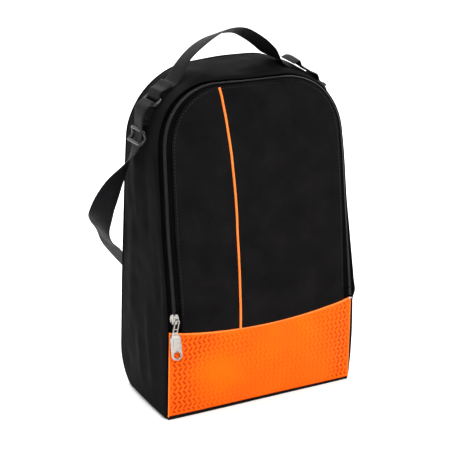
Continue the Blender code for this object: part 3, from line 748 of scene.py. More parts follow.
# Soft folds of the side wall, as (side, (y, z) start, (y, z) stop, width, height)
SIDE_FOLDS = (
    (-1, (-0.030, 0.020), (-0.018, 0.120), 0.007, 0.0018),
    (-1, (-0.004, 0.010), (0.006, 0.095), 0.008, 0.0016),
    (-1, (-0.044, 0.060), (-0.040, 0.200), 0.006, -0.0012),
    (-1, (0.022, 0.060), (0.020, 0.210), 0.010, 0.0016),
    (-1, (-0.020, 0.180), (-0.006, 0.285), 0.008, -0.0014),
    (-1, (0.008, 0.200), (0.018, 0.290), 0.008, 0.0014),
    (1, (-0.035, 0.030), (-0.030, 0.110), 0.008, 0.0016),
    (1, (0.000, 0.070), (0.010, 0.190), 0.010, 0.0015),
    (1, (0.028, 0.030), (0.020, 0.150), 0.009, -0.0013),
    (1, (-0.015, 0.190), (-0.010, 0.280), 0.009, 0.0013),
)
# Soft folds of the top, as (x, y) start and stop, width and height
TOP_FOLDS = (
    ((-0.045, -0.020), (-0.020, 0.030), 0.008, 0.0012),
    ((-0.008, -0.018), (0.004, 0.028), 0.009, -0.0010),
    ((0.022, -0.014), (0.014, 0.030), 0.007, 0.0011),
    ((0.050, -0.016), (0.058, 0.026), 0.007, -0.0010),
)


def gusset_inset(walk, y, front, back):
    """How far in from the outline the smooth wall is at y: front and back are (y, inset) at its two seams."""
    middle = np.interp(walk, FINE, MIDDLE_IN)
    (y0, a), (y1, b) = front, back
    share = (y - y0) / (y1 - y0)
    centre = (0.0 - y0) / (y1 - y0)
    curve = (middle - a - (b - a) * centre) / (centre * (centre - 1.0))
    inset = a + (b - a) * share + curve * share * (share - 1.0)
    puff = 0.0015 * (2 - np.exp(-(y - y0) / 0.0016) - np.exp(-(y1 - y) / 0.0025))
    return inset - puff


def wall_ends(walk):
    """(y, inset) at the gusset's two seams, and how far its front seam slips along the outline."""
    place, normal = outline_at(walk)
    seam = seam_point(walk)
    offset = np.array((seam[0], seam[2])) - place
    slip = offset @ np.array((-normal[1], normal[0]))
    back = (float(back_y(place[1])) - BACK_SET_IN, np.interp(walk, FINE, BACK_IN))
    return (seam[1], -offset @ normal), back, slip


def wall_point(walk, y, lift=0.0):
    """A point of the gusset's outer face, or lifted off it."""
    place, normal = outline_at(walk)
    front, back, slip = wall_ends(walk)
    inset = gusset_inset(walk, np.clip(y, front[0], back[0]), front, back)
    share = (y - front[0]) / (back[0] - front[0])
    if walk > TOTAL / 2 and place[1] < FOLD_Z + 0.02:
        depth = max(y - front[0], 0.0)
        high = math.sin(math.pi * np.clip((place[1] - 0.004) / 0.110, 0.0, 1.0)) ** 0.7
        inset -= SIDE_ROLL * high * (1 - math.exp(-depth / 0.0020)) * math.exp(-depth / 0.030)
    tangent = np.array((-normal[1], normal[0]))
    spot = place - normal * (inset - lift) + tangent * slip * (1 - np.clip(share, 0, 1)) ** 2
    return np.array((spot[0], y, spot[1]))


def make_gusset():
    """The outer face of the wall that runs up one side, over the top and down the other."""
    walks = np.concatenate(
        [
            np.linspace(0.0, 0.006, 5),
            np.linspace(0.010, LEG, 74),
            np.linspace(LEG, TOP_LEFT, 34)[1:],
            np.linspace(TOP_LEFT, TOP_RIGHT, 26)[1:],
            np.linspace(TOP_RIGHT, TOTAL - LEG, 34)[1:],
            np.linspace(TOTAL - LEG, TOTAL - 0.010, 74)[1:],
            np.linspace(TOTAL - 0.006, TOTAL, 5),
        ]
    )
    shares = (1 - np.cos(np.linspace(0, math.pi, 52))) / 2
    shares = 0.35 * shares + 0.65 * np.linspace(0, 1, 52)
    rows = []
    for walk in walks:
        place, normal = outline_at(walk)
        (front, _), (back, _), _ = wall_ends(walk)
        ys = front + (back - front) * shares
        row = np.array([wall_point(walk, y) for y in ys])
        edge = np.minimum(1.0, np.minimum(ys - front, back - ys) / 0.010)
        lift = 0.0013 * side_wobble(row) + 0.0004 * small_wobble(row)
        side = 1 if walk > TOTAL / 2 else -1
        wall = smoothstep(abs(normal[0]), 0.3, 0.9)
        for fold_side, start, stop, width, height in SIDE_FOLDS:
            if fold_side == side:
                lift = lift + wall * crease(row[:, 1:], start, stop, width, height)
        for start, stop, width, height in TOP_FOLDS:
            lift = lift + (1 - wall) * crease(row[:, :2], start, stop, width, height)
        near_web = webbing_near(row)
        foot = smoothstep(place[1], 0.0, 0.020)
        lift = lift * edge * (1 - 0.9 * near_web) * foot
        under = 0.0034 * (1 - min(place[1] / 0.005, 1.0)) ** 2
        shift = (lift - under)[:, None] * np.array((normal[0], 0.0, normal[1]))
        rows.append(row + shift)
    points = np.array(rows)
    outward = points - np.array((0.0, 0.0, 0.15))
    outward[..., 1] = 0
    return points, outward


def webbing_near(points):
    """1 under the handle's sewn ends and the ring tabs, 0 away from them."""
    flat = 1 - smoothstep(np.abs(points[:, 1]), 0.0135, 0.021)
    left = smoothstep(-points[:, 0], 0.058, 0.066) * (1 - smoothstep(-points[:, 0], 0.093, 0.1))
    right = smoothstep(points[:, 0], 0.042, 0.050) * (1 - smoothstep(points[:, 0], 0.093, 0.1))
    high = smoothstep(points[:, 2], 0.300, 0.312)
    return flat * (left + right) * high


def ride_and_slot(thing, body, slot, *nodes):
    """Puts a piece on a body, in place of the CAD nodes that it stands for. The slot is not used."""
    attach(thing, body)
    if nodes:
        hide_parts(*nodes)
    return thing


gusset_points, gusset_outward = make_gusset()
gusset = cloth_sheet("gusset_cloth", gusset_points, CLOTH, 0.0016, gusset_outward)
ride_and_slot(gusset, "bag", "black_cloth", "gusset")

# ------------------------------------------------------------ back, base and seams


def coons(bottom, top, left, right):
    """A grid between four edges. bottom and top run the same way, and left and right run upwards."""
    rows, columns = len(left), len(bottom)
    u = np.linspace(0, 1, columns)[None, :, None]
    v = np.linspace(0, 1, rows)[:, None, None]
    ruled = (1 - v) * bottom[None] + v * top[None] + (1 - u) * left[:, None] + u * right[:, None]
    corners = (1 - u) * (1 - v) * bottom[0] + u * (1 - v) * bottom[-1]
    corners = corners + (1 - u) * v * top[0] + u * v * top[-1]
    return ruled - corners


def resample(points, count):
    """The same line with evenly spaced points."""
    points = np.asarray(points, float)
    along = lengths_along(points)
    spots = np.linspace(0, along[-1], count)
    return np.stack([np.interp(spots, along, points[:, k]) for k in range(points.shape[1])], axis=-1)


back_edge = gusset_points[:, -1]
gusset_walks = lengths_along(gusset_points[:, 25])
left_corner = int(np.argmin(np.abs(gusset_walks - gusset_walks[-1] * CORNER_WALK / TOTAL)))
right_corner = len(back_edge) - 1 - left_corner
back_wobble = make_wobble(41, 0.09)

# Soft folds of the back, as (x, z) start and stop, width and height
BACK_FOLDS = (
    ((-0.09, 0.06), (-0.02, 0.11), 0.010, 0.0015),
    ((0.09, 0.05), (0.03, 0.10), 0.010, -0.0013),
    ((-0.05, 0.30), (-0.01, 0.24), 0.010, 0.0014),
    ((0.07, 0.30), (0.04, 0.22), 0.010, 0.0013),
)


def make_back():
    """The back's outer face, softly bulged, inside the gusset's back edge."""
    columns, rows = 92, 120
    inner = back_edge + (np.array((0.0, 0.0, 0.15)) - back_edge) * np.array((0.004, 0.0, 0.0))
    left = resample(inner[: left_corner + 1], rows)
    right = resample(inner[right_corner:][::-1], rows)
    top = resample(inner[left_corner : right_corner + 1], columns)
    bottom = np.linspace(left[0], right[0], columns)
    grid = coons(bottom, top, left, right)
    edge = np.min(np.linalg.norm(grid[:, :, None] - back_edge[None, None, ::3], axis=-1), axis=-1)
    height = 1 - np.exp(-edge / 0.016)
    low = smoothstep(grid[..., 2], 0.0, 0.03)
    bulge = (0.0030 + 0.0014 * back_wobble(grid) + 0.0004 * small_wobble(grid)) * height
    xz = grid[..., [0, 2]]
    for start, stop, width, size in BACK_FOLDS:
        bulge = bulge + crease(xz, start, stop, width, size)
    grid[..., 1] = back_y(np.clip(grid[..., 2], 0.0, None)) - BACK_SET_IN + bulge * low
    return grid


back_points = make_back()
back_panel = cloth_sheet("back_cloth", back_points, CLOTH, 0.0014, np.array((0.0, 1.0, -0.2)))
ride_and_slot(back_panel, "bag", "black_cloth", "back_panel")

BASE_INSET = 0.0030
BASE_FRONT = FRONT_Y_BASE + 0.0016
BASE_BACK = BACK_Y_BASE - BACK_CORNER_RADIUS + 0.0002


def make_base():
    u = np.linspace(-1, 1, 60)
    v = np.linspace(0, 1, 26)
    half = half_width(0.0) - BASE_INSET
    grid = np.zeros((26, 60, 3))
    grid[..., 0] = half * u[None, :]
    grid[..., 1] = BASE_FRONT + (BASE_BACK - BASE_FRONT) * v[:, None]
    grid[..., 2] = 0.0004 + 0.0003 * (1 + small_wobble(grid)) / 2
    return cloth_sheet("base_cloth", grid, LINING, 0.0012, np.array((0.0, 0.0, -1.0)))


ride_and_slot(make_base(), "bag", "black_cloth", "base_panel")
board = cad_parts["base_board"]
board.data.materials.clear()
board.data.materials.append(BOARD)

# A bound seam runs round the back, and a flat binding hides inside the front seam
BEAD_RADIUS = 0.0013
bead = back_edge + unit(back_edge - np.array((0.0, 0.0, 0.17))) * 0.0004
bead_path = resample(bead, 420)
bead_path[:, 2] = np.maximum(bead_path[:, 2], BEAD_RADIUS + 0.0003)
back_bead = rod("back_seam_bead", bead_path, BEAD_RADIUS, CLOTH, up=(0.0, 1.0, 0.001), around=8)
ride_and_slot(back_bead, "bag", "black_cloth", "back_seam_binding")

SEAM_TAPE_SECTION = ((0.0112, -0.0022), (0.0124, -0.0022), (0.0124, -0.0050), (0.0112, -0.0050))
binding_rings = []
for walk in np.linspace(FOLD_Z + 0.006, TOTAL - FOLD_Z - 0.006, 200):
    edge, across, out = strip_frame(walk)
    ring = []
    for distance, height in SEAM_TAPE_SECTION:
        ring.append(edge + across * distance + out * height)
    binding_rings.append(ring)
front_binding = swept("front_seam_tape", binding_rings, LINING, sharp=30)
ride_and_slot(front_binding, "bag", "black_cloth", "front_seam_binding")

# ------------------------------------------------------------ the orange panel

PANEL_SET_IN = 0.0006
FOOT_LEFT = 0.0034
FOOT_RIGHT = 0.0024
DENT_PITCH_X = 0.0054
DENT_PITCH_Z = 0.0052
DENT_HALF_WIDTH = 0.0015
DENT_HALF_HEIGHT = 0.0023
DENT_DEPTH = 0.00060
DENT_SLANT = 0.62


def orange_foot(x):
    """The orange panel's lower edge, over a black binding that is thinner towards the right."""
    return FOOT_LEFT + (FOOT_RIGHT - FOOT_LEFT) * (x / HALF_WIDTH_BASE + 1) / 2


def dent_share(x, z):
    """0 on the plain cloth and 1 in the middle of a slanted dent. The slant turns over from row to row."""
    row = np.floor(z / DENT_PITCH_Z)
    slant = np.where(np.mod(row, 2) == 0, DENT_SLANT, -DENT_SLANT)
    dz = z - (row + 0.5) * DENT_PITCH_Z
    shifted = x - slant * dz + np.mod(row, 2) * DENT_PITCH_X * 0.22
    column = np.floor(shifted / DENT_PITCH_X)
    dx = shifted - (column + 0.5) * DENT_PITCH_X
    wide = 1 - smoothstep(np.abs(dx), DENT_HALF_WIDTH * 0.60, DENT_HALF_WIDTH * 1.25)
    tall = 1 - smoothstep(np.abs(dz), DENT_HALF_HEIGHT * 0.78, DENT_HALF_HEIGHT)
    return wide * tall


orange_wobble = make_wobble(57, 0.075)
pattern_wobble = make_wobble(61, 0.06, 2)


def orange_bulge(x, z):
    """How far the orange cloth stands out, less towards its edges."""
    top = panel_top_z(x)
    side = half_width(z) - np.abs(x)
    rise = (1 - np.exp(-side / 0.012)) * (1 - np.exp(-z / 0.012))
    rise = rise * (1 - 0.5 * np.exp(-(top - z) / 0.014))
    spots = np.stack([x, np.zeros_like(x), z], axis=-1)
    return rise * (0.0030 + 0.0013 * orange_wobble(spots))


def orange_point(x, z, lift=0.0):
    """A place on the orange cloth's face, or lifted off it."""
    return np.stack([x, front_y(z) - orange_bulge(x, z) - lift, z], axis=-1)


def dent_strength(x, z, spots):
    """How deep the dents are, and so how much painted shade they get: deep by the sides and in the low
    corners, and nearly flat in the middle.
    """
    left = np.exp(-((x + HALF_WIDTH_BASE) / 0.030) ** 2)
    right = np.exp(-((HALF_WIDTH_BASE - x) / 0.026) ** 2)
    corner = 0.6 * np.exp(-((z / 0.022) ** 2)) * np.exp(-((x + HALF_WIDTH_BASE) / 0.062) ** 2)
    upper = 0.55 * smoothstep(z, 0.045, 0.075) * np.exp(-((x + HALF_WIDTH_BASE) / 0.066) ** 2)
    patchy = 0.24 + 0.22 * pattern_wobble(spots)
    return np.clip(np.maximum(left, right) * 0.95 + corner + upper + patchy, 0.08, 1.0)


def make_orange():
    columns, rows = 420, 180
    u = np.linspace(-1, 1, columns)
    v = np.linspace(0, 1, rows)
    half = half_width(0.0) - PANEL_SET_IN
    top_half = half_width(FOLD_Z) - PANEL_SET_IN
    x = u[None, :] * (half + (top_half - half) * v[:, None])
    top = panel_top_z(x)
    foot = orange_foot(x)
    z = foot + (top - foot) * v[:, None]
    edge = np.minimum(np.minimum(half_width(z) - np.abs(x), top - z), z - foot)
    inside = smoothstep(edge, 0.0022, 0.0042)
    spots = np.stack([x, np.zeros_like(x), z], axis=-1)
    strength = dent_strength(x, z, spots)
    # The dent mask shapes the dents and is also stored on the mesh for the shader, which paints shade into
    # them.
    dent_and_shade = dent_share(x, z) * inside * strength
    rim = 0.0009 * (1 - smoothstep(edge, 0.0, 0.0016))
    points = orange_point(x, z) + np.array((0.0, 1.0, 0.0)) * (DENT_DEPTH * dent_and_shade + rim)[..., None]
    panel = cloth_sheet("orange_panel", points, ORANGE, 0.0011, np.array((0.0, -1.0, 0.0)))
    mark = panel.data.attributes.new("dent_and_shade", "FLOAT", "POINT")
    values = np.concatenate([dent_and_shade.ravel(), np.zeros(dent_and_shade.size)]).astype(np.float32)
    mark.data.foreach_set("value", values)
    return panel


orange = ride_and_slot(make_orange(), "bag", "orange_cloth", "lower_front_panel")

# The hem's rounded section, as (drop from the panel's top, lift off its face)
HEM_SECTION = (
    (0.0002, -0.0004), (-0.0002, 0.0003), (0.0002, 0.0009),
    (0.0010, 0.0010), (0.0017, 0.0007), (0.0019, 0.0),
)
hem_rings = []
for x in np.linspace(-1, 1, 130) * (half_width(FOLD_Z) - PANEL_SET_IN):
    z = panel_top_z(x)
    hem_rings.append([orange_point(np.array(x), np.array(z - drop), lift) for drop, lift in HEM_SECTION])
# The hem is in the lighter piping orange: a painted highlight along the folded top edge.
hem = swept("orange_hem", hem_rings, PIPING_AND_EDGE_HIGHLIGHT)
ride_and_slot(hem, "bag", "orange_piping", "lower_panel_hem")

# A thin folded edge runs down each side of the orange panel, in the lighter piping orange as a painted
# highlight along the fold, and a black binding along its foot
for side, label in ((-1, "left"), (1, "right")):
    z = np.linspace(orange_foot(side * HALF_WIDTH_BASE), FOLD_Z - 0.0006, 60)
    x = side * (half_width(z) - 0.0009)
    path = orange_point(x, z, 0.0003)
    edge_fold = rod("orange_edge_" + label, path, 0.00062, PIPING_AND_EDGE_HIGHLIGHT, up=(0.0, -1.0, 0.0), around=8)
    ride_and_slot(edge_fold, "bag", "orange_piping")
x = np.linspace(-1, 1, 120) * (half_width(0.0) - 0.0010)
foot_bow = FRONT_Y_BASE + 0.0008 - orange_bulge(x, orange_foot(x)) * 0.9
foot_radius = orange_foot(x) / 2 + 0.0001
path = np.stack([x, foot_bow, foot_radius + 0.0002], axis=-1)
foot_binding = rod("front_foot_binding", path, foot_radius, CLOTH, up=(0.0, -1.0, 0.0), around=14)
ride_and_slot(foot_binding, "bag", "black_cloth")
x = np.linspace(-1, 1, 120) * (half_width(0.0) - 0.0040)
foot_seam = stitches(
    "front_foot_stitches",
    orange_point(x, orange_foot(x) + 0.0016, 0.0),
    (0.0, -1.0, 0.0),
    STITCH_ORANGE,
    pitch=0.0038,
    length=0.0028,
)
ride_and_slot(foot_seam, "bag", "orange_cloth")

# ------------------------------------------------------------ the flap

PIPING_X = -0.0267
PIPING_DRIFT = 0.0132
PIPING_TOP = 0.334
FLAP_TUCK = 0.0022


def piping_x(z):
    rise = np.clip(z - 0.190, 0.0, None) / (TOP_Z - 0.190)
    return PIPING_X - 0.0006 * (FOLD_Z + 0.05 - np.minimum(z, 0.147)) / 0.05 - PIPING_DRIFT * rise**2.4


EDGE_WALKS = np.linspace(0.086, TOTAL - 0.086, 700)
EDGE_LINE = np.array([strip_frame(walk)[0] for walk in EDGE_WALKS])
EDGE_FLAT = EDGE_LINE[:, [0, 2]]
flap_wobble = make_wobble(71, 0.095)
pucker_wobble = make_wobble(73, 0.016, 2)

# Soft folds of the flap, as (x, z) start and stop, width and height
FLAP_FOLDS = (
    ((-0.092, 0.212), (-0.060, 0.226), 0.0045, 0.0012),
    ((-0.092, 0.196), (-0.050, 0.206), 0.0050, 0.0013),
    ((-0.090, 0.250), (-0.052, 0.285), 0.0070, -0.0010),
    ((-0.020, 0.330), (-0.010, 0.292), 0.0060, 0.0014),
    ((0.006, 0.331), (0.002, 0.300), 0.0045, -0.0012),
    ((0.022, 0.331), (0.020, 0.296), 0.0055, 0.0015),
    ((0.040, 0.331), (0.042, 0.288), 0.0060, -0.0014),
    ((0.052, 0.329), (0.060, 0.296), 0.0050, 0.0013),
    ((0.092, 0.292), (0.070, 0.262), 0.0060, 0.0014),
    ((0.096, 0.262), (0.080, 0.222), 0.0060, -0.0012),
    ((0.088, 0.240), (0.094, 0.160), 0.0060, 0.0010),
    ((-0.020, 0.120), (0.070, 0.150), 0.0140, 0.0010),
    ((-0.085, 0.135), (-0.050, 0.118), 0.0080, 0.0010),
)


def flap_height(x, z):
    """How far the flap's face stands out of the leaning front plane."""
    spots = np.stack([x, z], axis=-1)
    shape = x.shape
    flat = spots.reshape(-1, 2)
    gap = np.full(len(flat), 1.0)
    for start in range(0, len(EDGE_FLAT), 50):
        part = EDGE_FLAT[start : start + 50]
        found = np.min(np.linalg.norm(flat[:, None] - part[None], axis=-1), axis=1)
        gap = np.minimum(gap, found)
    gap = gap.reshape(shape)
    foot = np.clip(z - panel_top_z(x), 0.0, None)
    crown = (1 - np.exp(-gap / 0.014)) * (1 - np.exp(-foot / 0.020))
    solid = np.stack([x, np.zeros_like(x), z], axis=-1)
    rough = 0.0010 * flap_wobble(solid)
    near_edge = np.exp(-gap / 0.022) * (1 - np.exp(-gap / 0.003))
    pucker = 0.0005 * pucker_wobble(solid) * near_edge * smoothstep(z, 0.24, 0.30)
    folds = sum(crease(spots, *fold) for fold in FLAP_FOLDS)
    seam = np.abs(x - piping_x(z))
    tuck = -0.0007 * np.exp(-((seam / 0.0022) ** 2))
    fade = 1 - np.exp(-gap / 0.004)
    fold = 0.0009 * (1 - np.exp(-gap / 0.0009))
    soft = (0.0022 + rough + folds * 1.1) * crown
    return EDGE_OUT - 0.0006 + fold + soft + pucker + tuck * fade


def flap_grid(left, right, bottom, top, rows, columns):
    """A panel's face, with its foot tucked in behind the orange hem."""
    bottom, top = resample(bottom, columns), resample(top, columns)
    flat = coons(bottom, top, resample(left, rows), resample(right, rows))
    x, z = flat[..., 0], flat[..., 1]
    out = flap_height(x, z)
    under = panel_top_z(x) - z
    out = out - 0.0014 * smoothstep(under, -0.0030, 0.0010)
    out = out - 0.0016 * smoothstep(under, -0.0005, 0.0025)
    return on_flap(x, z, out)


def flap_panel(name, side, node):
    """One of the two black panels, from the piping to the zip's inner edge."""
    left_side = side < 0
    by_piping = np.abs(EDGE_FLAT[:, 0] - piping_x(PIPING_TOP)) + (EDGE_FLAT[:, 1] < PIPING_TOP - 0.004)
    top_index = int(np.argmin(by_piping))
    corner_walk = CORNER_WALK if left_side else TOTAL - CORNER_WALK
    corner = int(np.argmin(np.abs(EDGE_WALKS - corner_walk)))
    seam_z = np.linspace(panel_top_z(PIPING_X) - FLAP_TUCK, EDGE_FLAT[top_index, 1], 160)
    seam = np.stack([piping_x(seam_z), seam_z], axis=-1)
    if left_side:
        outer = EDGE_FLAT[: corner + 1]
        top = np.vstack([EDGE_FLAT[corner : top_index + 1], seam[-1]])
        rising = EDGE_FLAT[: len(EDGE_FLAT) // 2 - 10]
        foot_x = -np.interp(FOLD_Z - 0.003, rising[:, 1], np.abs(rising[:, 0]))
        xs = np.linspace(foot_x, PIPING_X, 80)
    else:
        outer = EDGE_FLAT[corner:][::-1]
        top = np.vstack([seam[-1], EDGE_FLAT[top_index + 1 : corner + 1]])
        xs = np.linspace(PIPING_X, EDGE_FLAT[-1, 0], 80)
    bottom = np.stack([xs, panel_top_z(xs) - FLAP_TUCK], axis=-1)
    foot = bottom[0] if left_side else bottom[-1]
    outer = np.vstack([foot, outer[outer[:, 1] > foot[1] + 0.001]])
    left, right = (outer, seam.copy()) if left_side else (seam.copy(), outer)
    left[0], right[0] = bottom[0], bottom[-1]
    left[-1], right[-1] = top[0], top[-1]
    points = flap_grid(left, right, bottom, top, 190, 76 if left_side else 130)
    panel = cloth_sheet(name, points, CLOTH, 0.0012, FLAP_OUT)
    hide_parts(node)
    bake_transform(panel)


flap_panel("flap_cloth_left", -1, "flap_left_panel")
flap_panel("flap_cloth_right", 1, "flap_right_panel")

piping_z = np.linspace(panel_top_z(PIPING_X) - 0.0006, PIPING_TOP - 0.0005, 200)
px = piping_x(piping_z)
piping_out = flap_height(px, piping_z)
piping_path = on_flap(px, piping_z, piping_out + 0.0004)
piping = rod("flap_piping_cord", piping_path, 0.00125, PIPING_AND_EDGE_HIGHLIGHT, up=FLAP_OUT, around=12, flat=0.85)
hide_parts("flap_piping")
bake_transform(piping)

# ------------------------------------------------------------ the zip

ZIP_START = 0.0985
INNER_START = 0.117
INNER_STOP = TOTAL - 0.107


def strip_band(name, walks, profile, material):
    """A band along the zip strip, with a closed profile of (distance, height)."""
    rings = [[strip_point(walk, distance, height) for distance, height in profile] for walk in walks]
    along = lengths_along(np.array([ring[0] for ring in rings]))
    across = np.array([distance for distance, _ in profile])
    return swept(name, rings, material, uvs=band_uvs(across, along))


def tape_profile(start, stop, lip):
    """A thin tape with a raised fold along the coil. lip is the end that carries it."""
    thick = 0.0007
    deep = -0.0013
    quarter = (stop - start) / 4
    if lip == "stop":
        top = [(start, deep), (start + quarter, deep), (start + 2 * quarter, -0.0006)]
        top += [(start + 3 * quarter, -0.0002), (stop - 0.0007, 0.0006), (stop, 0.0004)]
    else:
        top = [(start, 0.0004), (start + 0.0007, 0.0006), (start + quarter, -0.0002)]
        top += [(start + 2 * quarter, -0.0006), (start + 3 * quarter, deep), (stop, deep)]
    return top + [(distance, height - thick) for distance, height in top[::-1]]


outer_walks = np.linspace(ZIP_START, TOTAL - ZIP_START, 520)
inner_walks = np.linspace(INNER_START, INNER_STOP, 500)
outer_profile = tape_profile(COIL_PLACE + COIL_HALF - 0.0002, STRIP_WIDTH + 0.0010, "start")
inner_profile = tape_profile(-0.0010, COIL_PLACE - COIL_HALF + 0.0002, "stop")
outer_tape = strip_band("outer_tape", outer_walks, outer_profile, TAPE)
ride_and_slot(outer_tape, "bag", "zip_black", "outer_zip_tape")
inner_tape = strip_band("inner_tape", inner_walks, inner_profile, TAPE)
ride_and_slot(inner_tape, "flap", "zip_black", "inner_zip_tape")
CLOSED_ENDS = (
    ("left", ZIP_START, INNER_START - 0.0004),
    ("right", INNER_STOP + 0.0004, TOTAL - ZIP_START),
)
for label, start, stop in CLOSED_ENDS:
    closed_tape = strip_band("closed_tape_end_" + label, np.linspace(start, stop, 12), inner_profile, TAPE)
    ride_and_slot(closed_tape, "bag", "zip_black")


COIL_PITCH = 0.00145
# One turn of the coil, as (distance past the middle, height, radius)
COIL_BAR = (
    (-0.00045, 0.0005, 0.00018),
    (-0.0002, 0.0010, 0.00040),
    (0.0010, 0.0011, 0.00040),
    (0.0017, 0.0008, 0.00038),
    (0.0020, 0.0002, 0.00025),
)


def coil_teeth(name, start, stop, side, material):
    """The coil's turns: rounded bars that reach past the middle, between those of the other side."""
    points = []
    faces = []
    turns = 2 * math.pi * np.arange(6) / 6
    for i in range(int((stop - start) / COIL_PITCH)):
        walk = start + (i + (0.25 if side < 0 else 0.75)) * COIL_PITCH
        edge, across, out = strip_frame(walk)
        ahead = np.cross(out, across)
        base = len(points)
        for spot, height, width in COIL_BAR:
            centre = edge + across * (COIL_PLACE + side * spot) + out * height
            for turn in turns:
                points.append(centre + width * (math.cos(turn) * out * 0.9 + math.sin(turn) * ahead))
        faces += grid_faces(5, 6, wrap=True, offset=base)
        faces.append(tuple(base + j for j in range(6))[::-1])
        faces.append(tuple(base + 24 + j for j in range(6)))
    return outside_out(new_mesh(name, points, faces, material))


outer_coil = coil_teeth("outer_coil", ZIP_START, TOTAL - ZIP_START, 1, COIL)
ride_and_slot(outer_coil, "bag", "zip_black", "outer_zip_coil")
inner_coil = coil_teeth("inner_coil", INNER_START, INNER_STOP, -1, COIL)
ride_and_slot(inner_coil, "flap", "zip_black", "inner_zip_coil")
for label, start, stop in CLOSED_ENDS:
    closed_coil = coil_teeth("closed_coil_end_" + label, start, stop - 0.0006, -1, COIL)
    ride_and_slot(closed_coil, "bag", "zip_black")

ZIP_STOPS = (
    (0.0990, "left", "zip_stop_left"),
    (TOTAL - 0.0962, "right", "zip_stop_right"),
)
for walk, label, node in ZIP_STOPS:
    edge, across, out = strip_frame(walk)
    ahead = np.cross(out, across)
    path = [edge + across * (COIL_PLACE + step) + out * 0.0008 for step in np.linspace(-0.0024, 0.0024, 9)]
    stop = rod("zip_stop_clip_" + label, path, 0.0008, NICKEL, up=out, around=10, flat=0.7)
    ride_and_slot(stop, "bag", "nickel", node)

# Topstitching on the flap, beside the zip
STITCH_START = 0.112
STITCH_INSET = 0.0022
stitch_path = []
for walk in np.linspace(STITCH_START, TOTAL - STITCH_START, 420):
    edge, across, _ = strip_frame(walk)
    spot = edge[[0, 2]] - unit(across[[0, 2]] + np.array((0.0, 1e-9))) * STITCH_INSET
    height = flap_height(spot[:1], spot[1:])
    stitch_path.append(on_flap(spot[:1], spot[1:], height)[0])
flap_stitches = stitches("flap_topstitch", np.array(stitch_path), FLAP_OUT, THREAD)
ride_and_slot(flap_stitches, "flap", "black_cloth")

# ------------------------------------------------------------ slider and pull


def rounded_outline(width, low, high, radius, steps):
    """The outline of a rectangle with rounded corners, centred on x = 0."""
    points = []
    corners = (
        (width / 2 - radius, low + radius, -90),
        (width / 2 - radius, high - radius, 0),
        (-width / 2 + radius, high - radius, 90),
        (-width / 2 + radius, low + radius, 180),
    )
    for x, z, start in corners:
        for i in range(steps + 1):
            turn = math.radians(start + 90 * i / steps)
            points.append((x + radius * math.cos(turn), z + radius * math.sin(turn)))
    return points


def even_loop(outline, count):
    """A closed outline with evenly spaced points."""
    outline = np.array(outline)
    return resample(np.vstack([outline, outline[:1]]), count + 1)[:-1]


def plate(name, outline, depths, place, material, bevel):
    """A plate from an outline in two directions, between two depths, with softened edges."""
    rings = [[place(x, z, depth) for x, z in outline] for depth in depths]
    return bevelled(swept(name, rings, material, sharp=40), bevel)


slider_edge, slider_across, slider_out = strip_frame(SLIDER_Z)
slider_along = np.cross(slider_out, slider_across)
if slider_along[2] < 0:
    slider_along = -slider_along
slider_right = -slider_across
slider_base = slider_edge + slider_across * COIL_PLACE


def on_slider(x, along, out):
    return slider_base + slider_right * x + slider_along * along + slider_out * out


def slider_outline():
    """A slider's top plate: a wide shoulder at the mouth end, a waist, and a narrower foot."""
    half = [(0.0000, -0.0052), (0.0020, -0.0050), (0.0028, -0.0040), (0.0027, -0.0020), (0.0034, 0.0004)]
    half += [(0.0040, 0.0026), (0.0038, 0.0044), (0.0024, 0.0053), (0.0009, 0.0050), (0.0, 0.0046)]
    line = smooth_path(np.array(half), 3)
    mirrored = [(-x, z) for x, z in line[::-1][1:-1]]
    return [tuple(point) for point in line] + mirrored


def make_slider():
    """Two plates with a curved lip down each side, and a bail that stands off the upper plate."""
    parts = [plate("slider_top", slider_outline(), (0.0019, 0.0032), on_slider, NICKEL, 0.0004)]
    parts.append(plate("slider_under", slider_outline(), (-0.0016, -0.0008), on_slider, NICKEL, 0.0002))
    for side in (-1, 1):
        lip = []
        for share in np.linspace(0, 1, 9):
            bow = 0.0031 + 0.0006 * math.sin(math.pi * share)
            lip.append(on_slider(side * bow, -0.0030 + 0.0066 * share, 0.0012))
        parts.append(rod("slider_lip", lip, 0.0009, NICKEL, up=slider_out, around=10))
    bail = []
    for angle in np.linspace(0, math.pi, 17):
        rise = abs(math.sin(angle)) ** 0.7
        bail.append(on_slider(0.0, -0.0034 * math.cos(angle) + 0.0006, 0.0030 + 0.0024 * rise))
    parts.append(rod("slider_bail", bail, 0.00065, NICKEL, up=slider_right, around=10, flat=1.3))
    return join_all("slider_body", parts)


ride_and_slot(make_slider(), "slider", "nickel", "zip_slider")

PULL_LEAN = math.radians(3.5)
link_low, link_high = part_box("pull_link")
tab_low, tab_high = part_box("pull_tab")
pull_x = (tab_low.x + tab_high.x) / 2
link_x = (link_low.x + link_high.x) / 2
pivot_z = link_high.z - 0.0005
slope = math.tan(PULL_LEAN)
pull_top = tab_high.z + 0.0022
pull_bottom = tab_low.z
pull_mid_y = (tab_low.y + tab_high.y) / 2
pull_mid_z = (pull_top + pull_bottom) / 2


PULL_TILT = 0.055
PULL_WIDTH = tab_high.x - tab_low.x + 0.0006
PULL_HALF = 0.0007
LINK_WIDTH = 0.0044
HOLE_RADIUS = 0.0035
HOLE_Z = pull_bottom + 0.0055
# The plate's section, as (share of the way from its edge to the hole, depth as a share of half its thickness)
PULL_SECTION = (
    (0.0, -0.5), (0.0, 0.5), (0.02, 0.9), (0.05, 1.0), (0.93, 1.0), (0.98, 0.85),
    (1.0, 0.4), (1.0, -0.4), (0.98, -0.85), (0.93, -1.0), (0.05, -1.0), (0.02, -0.9),
)


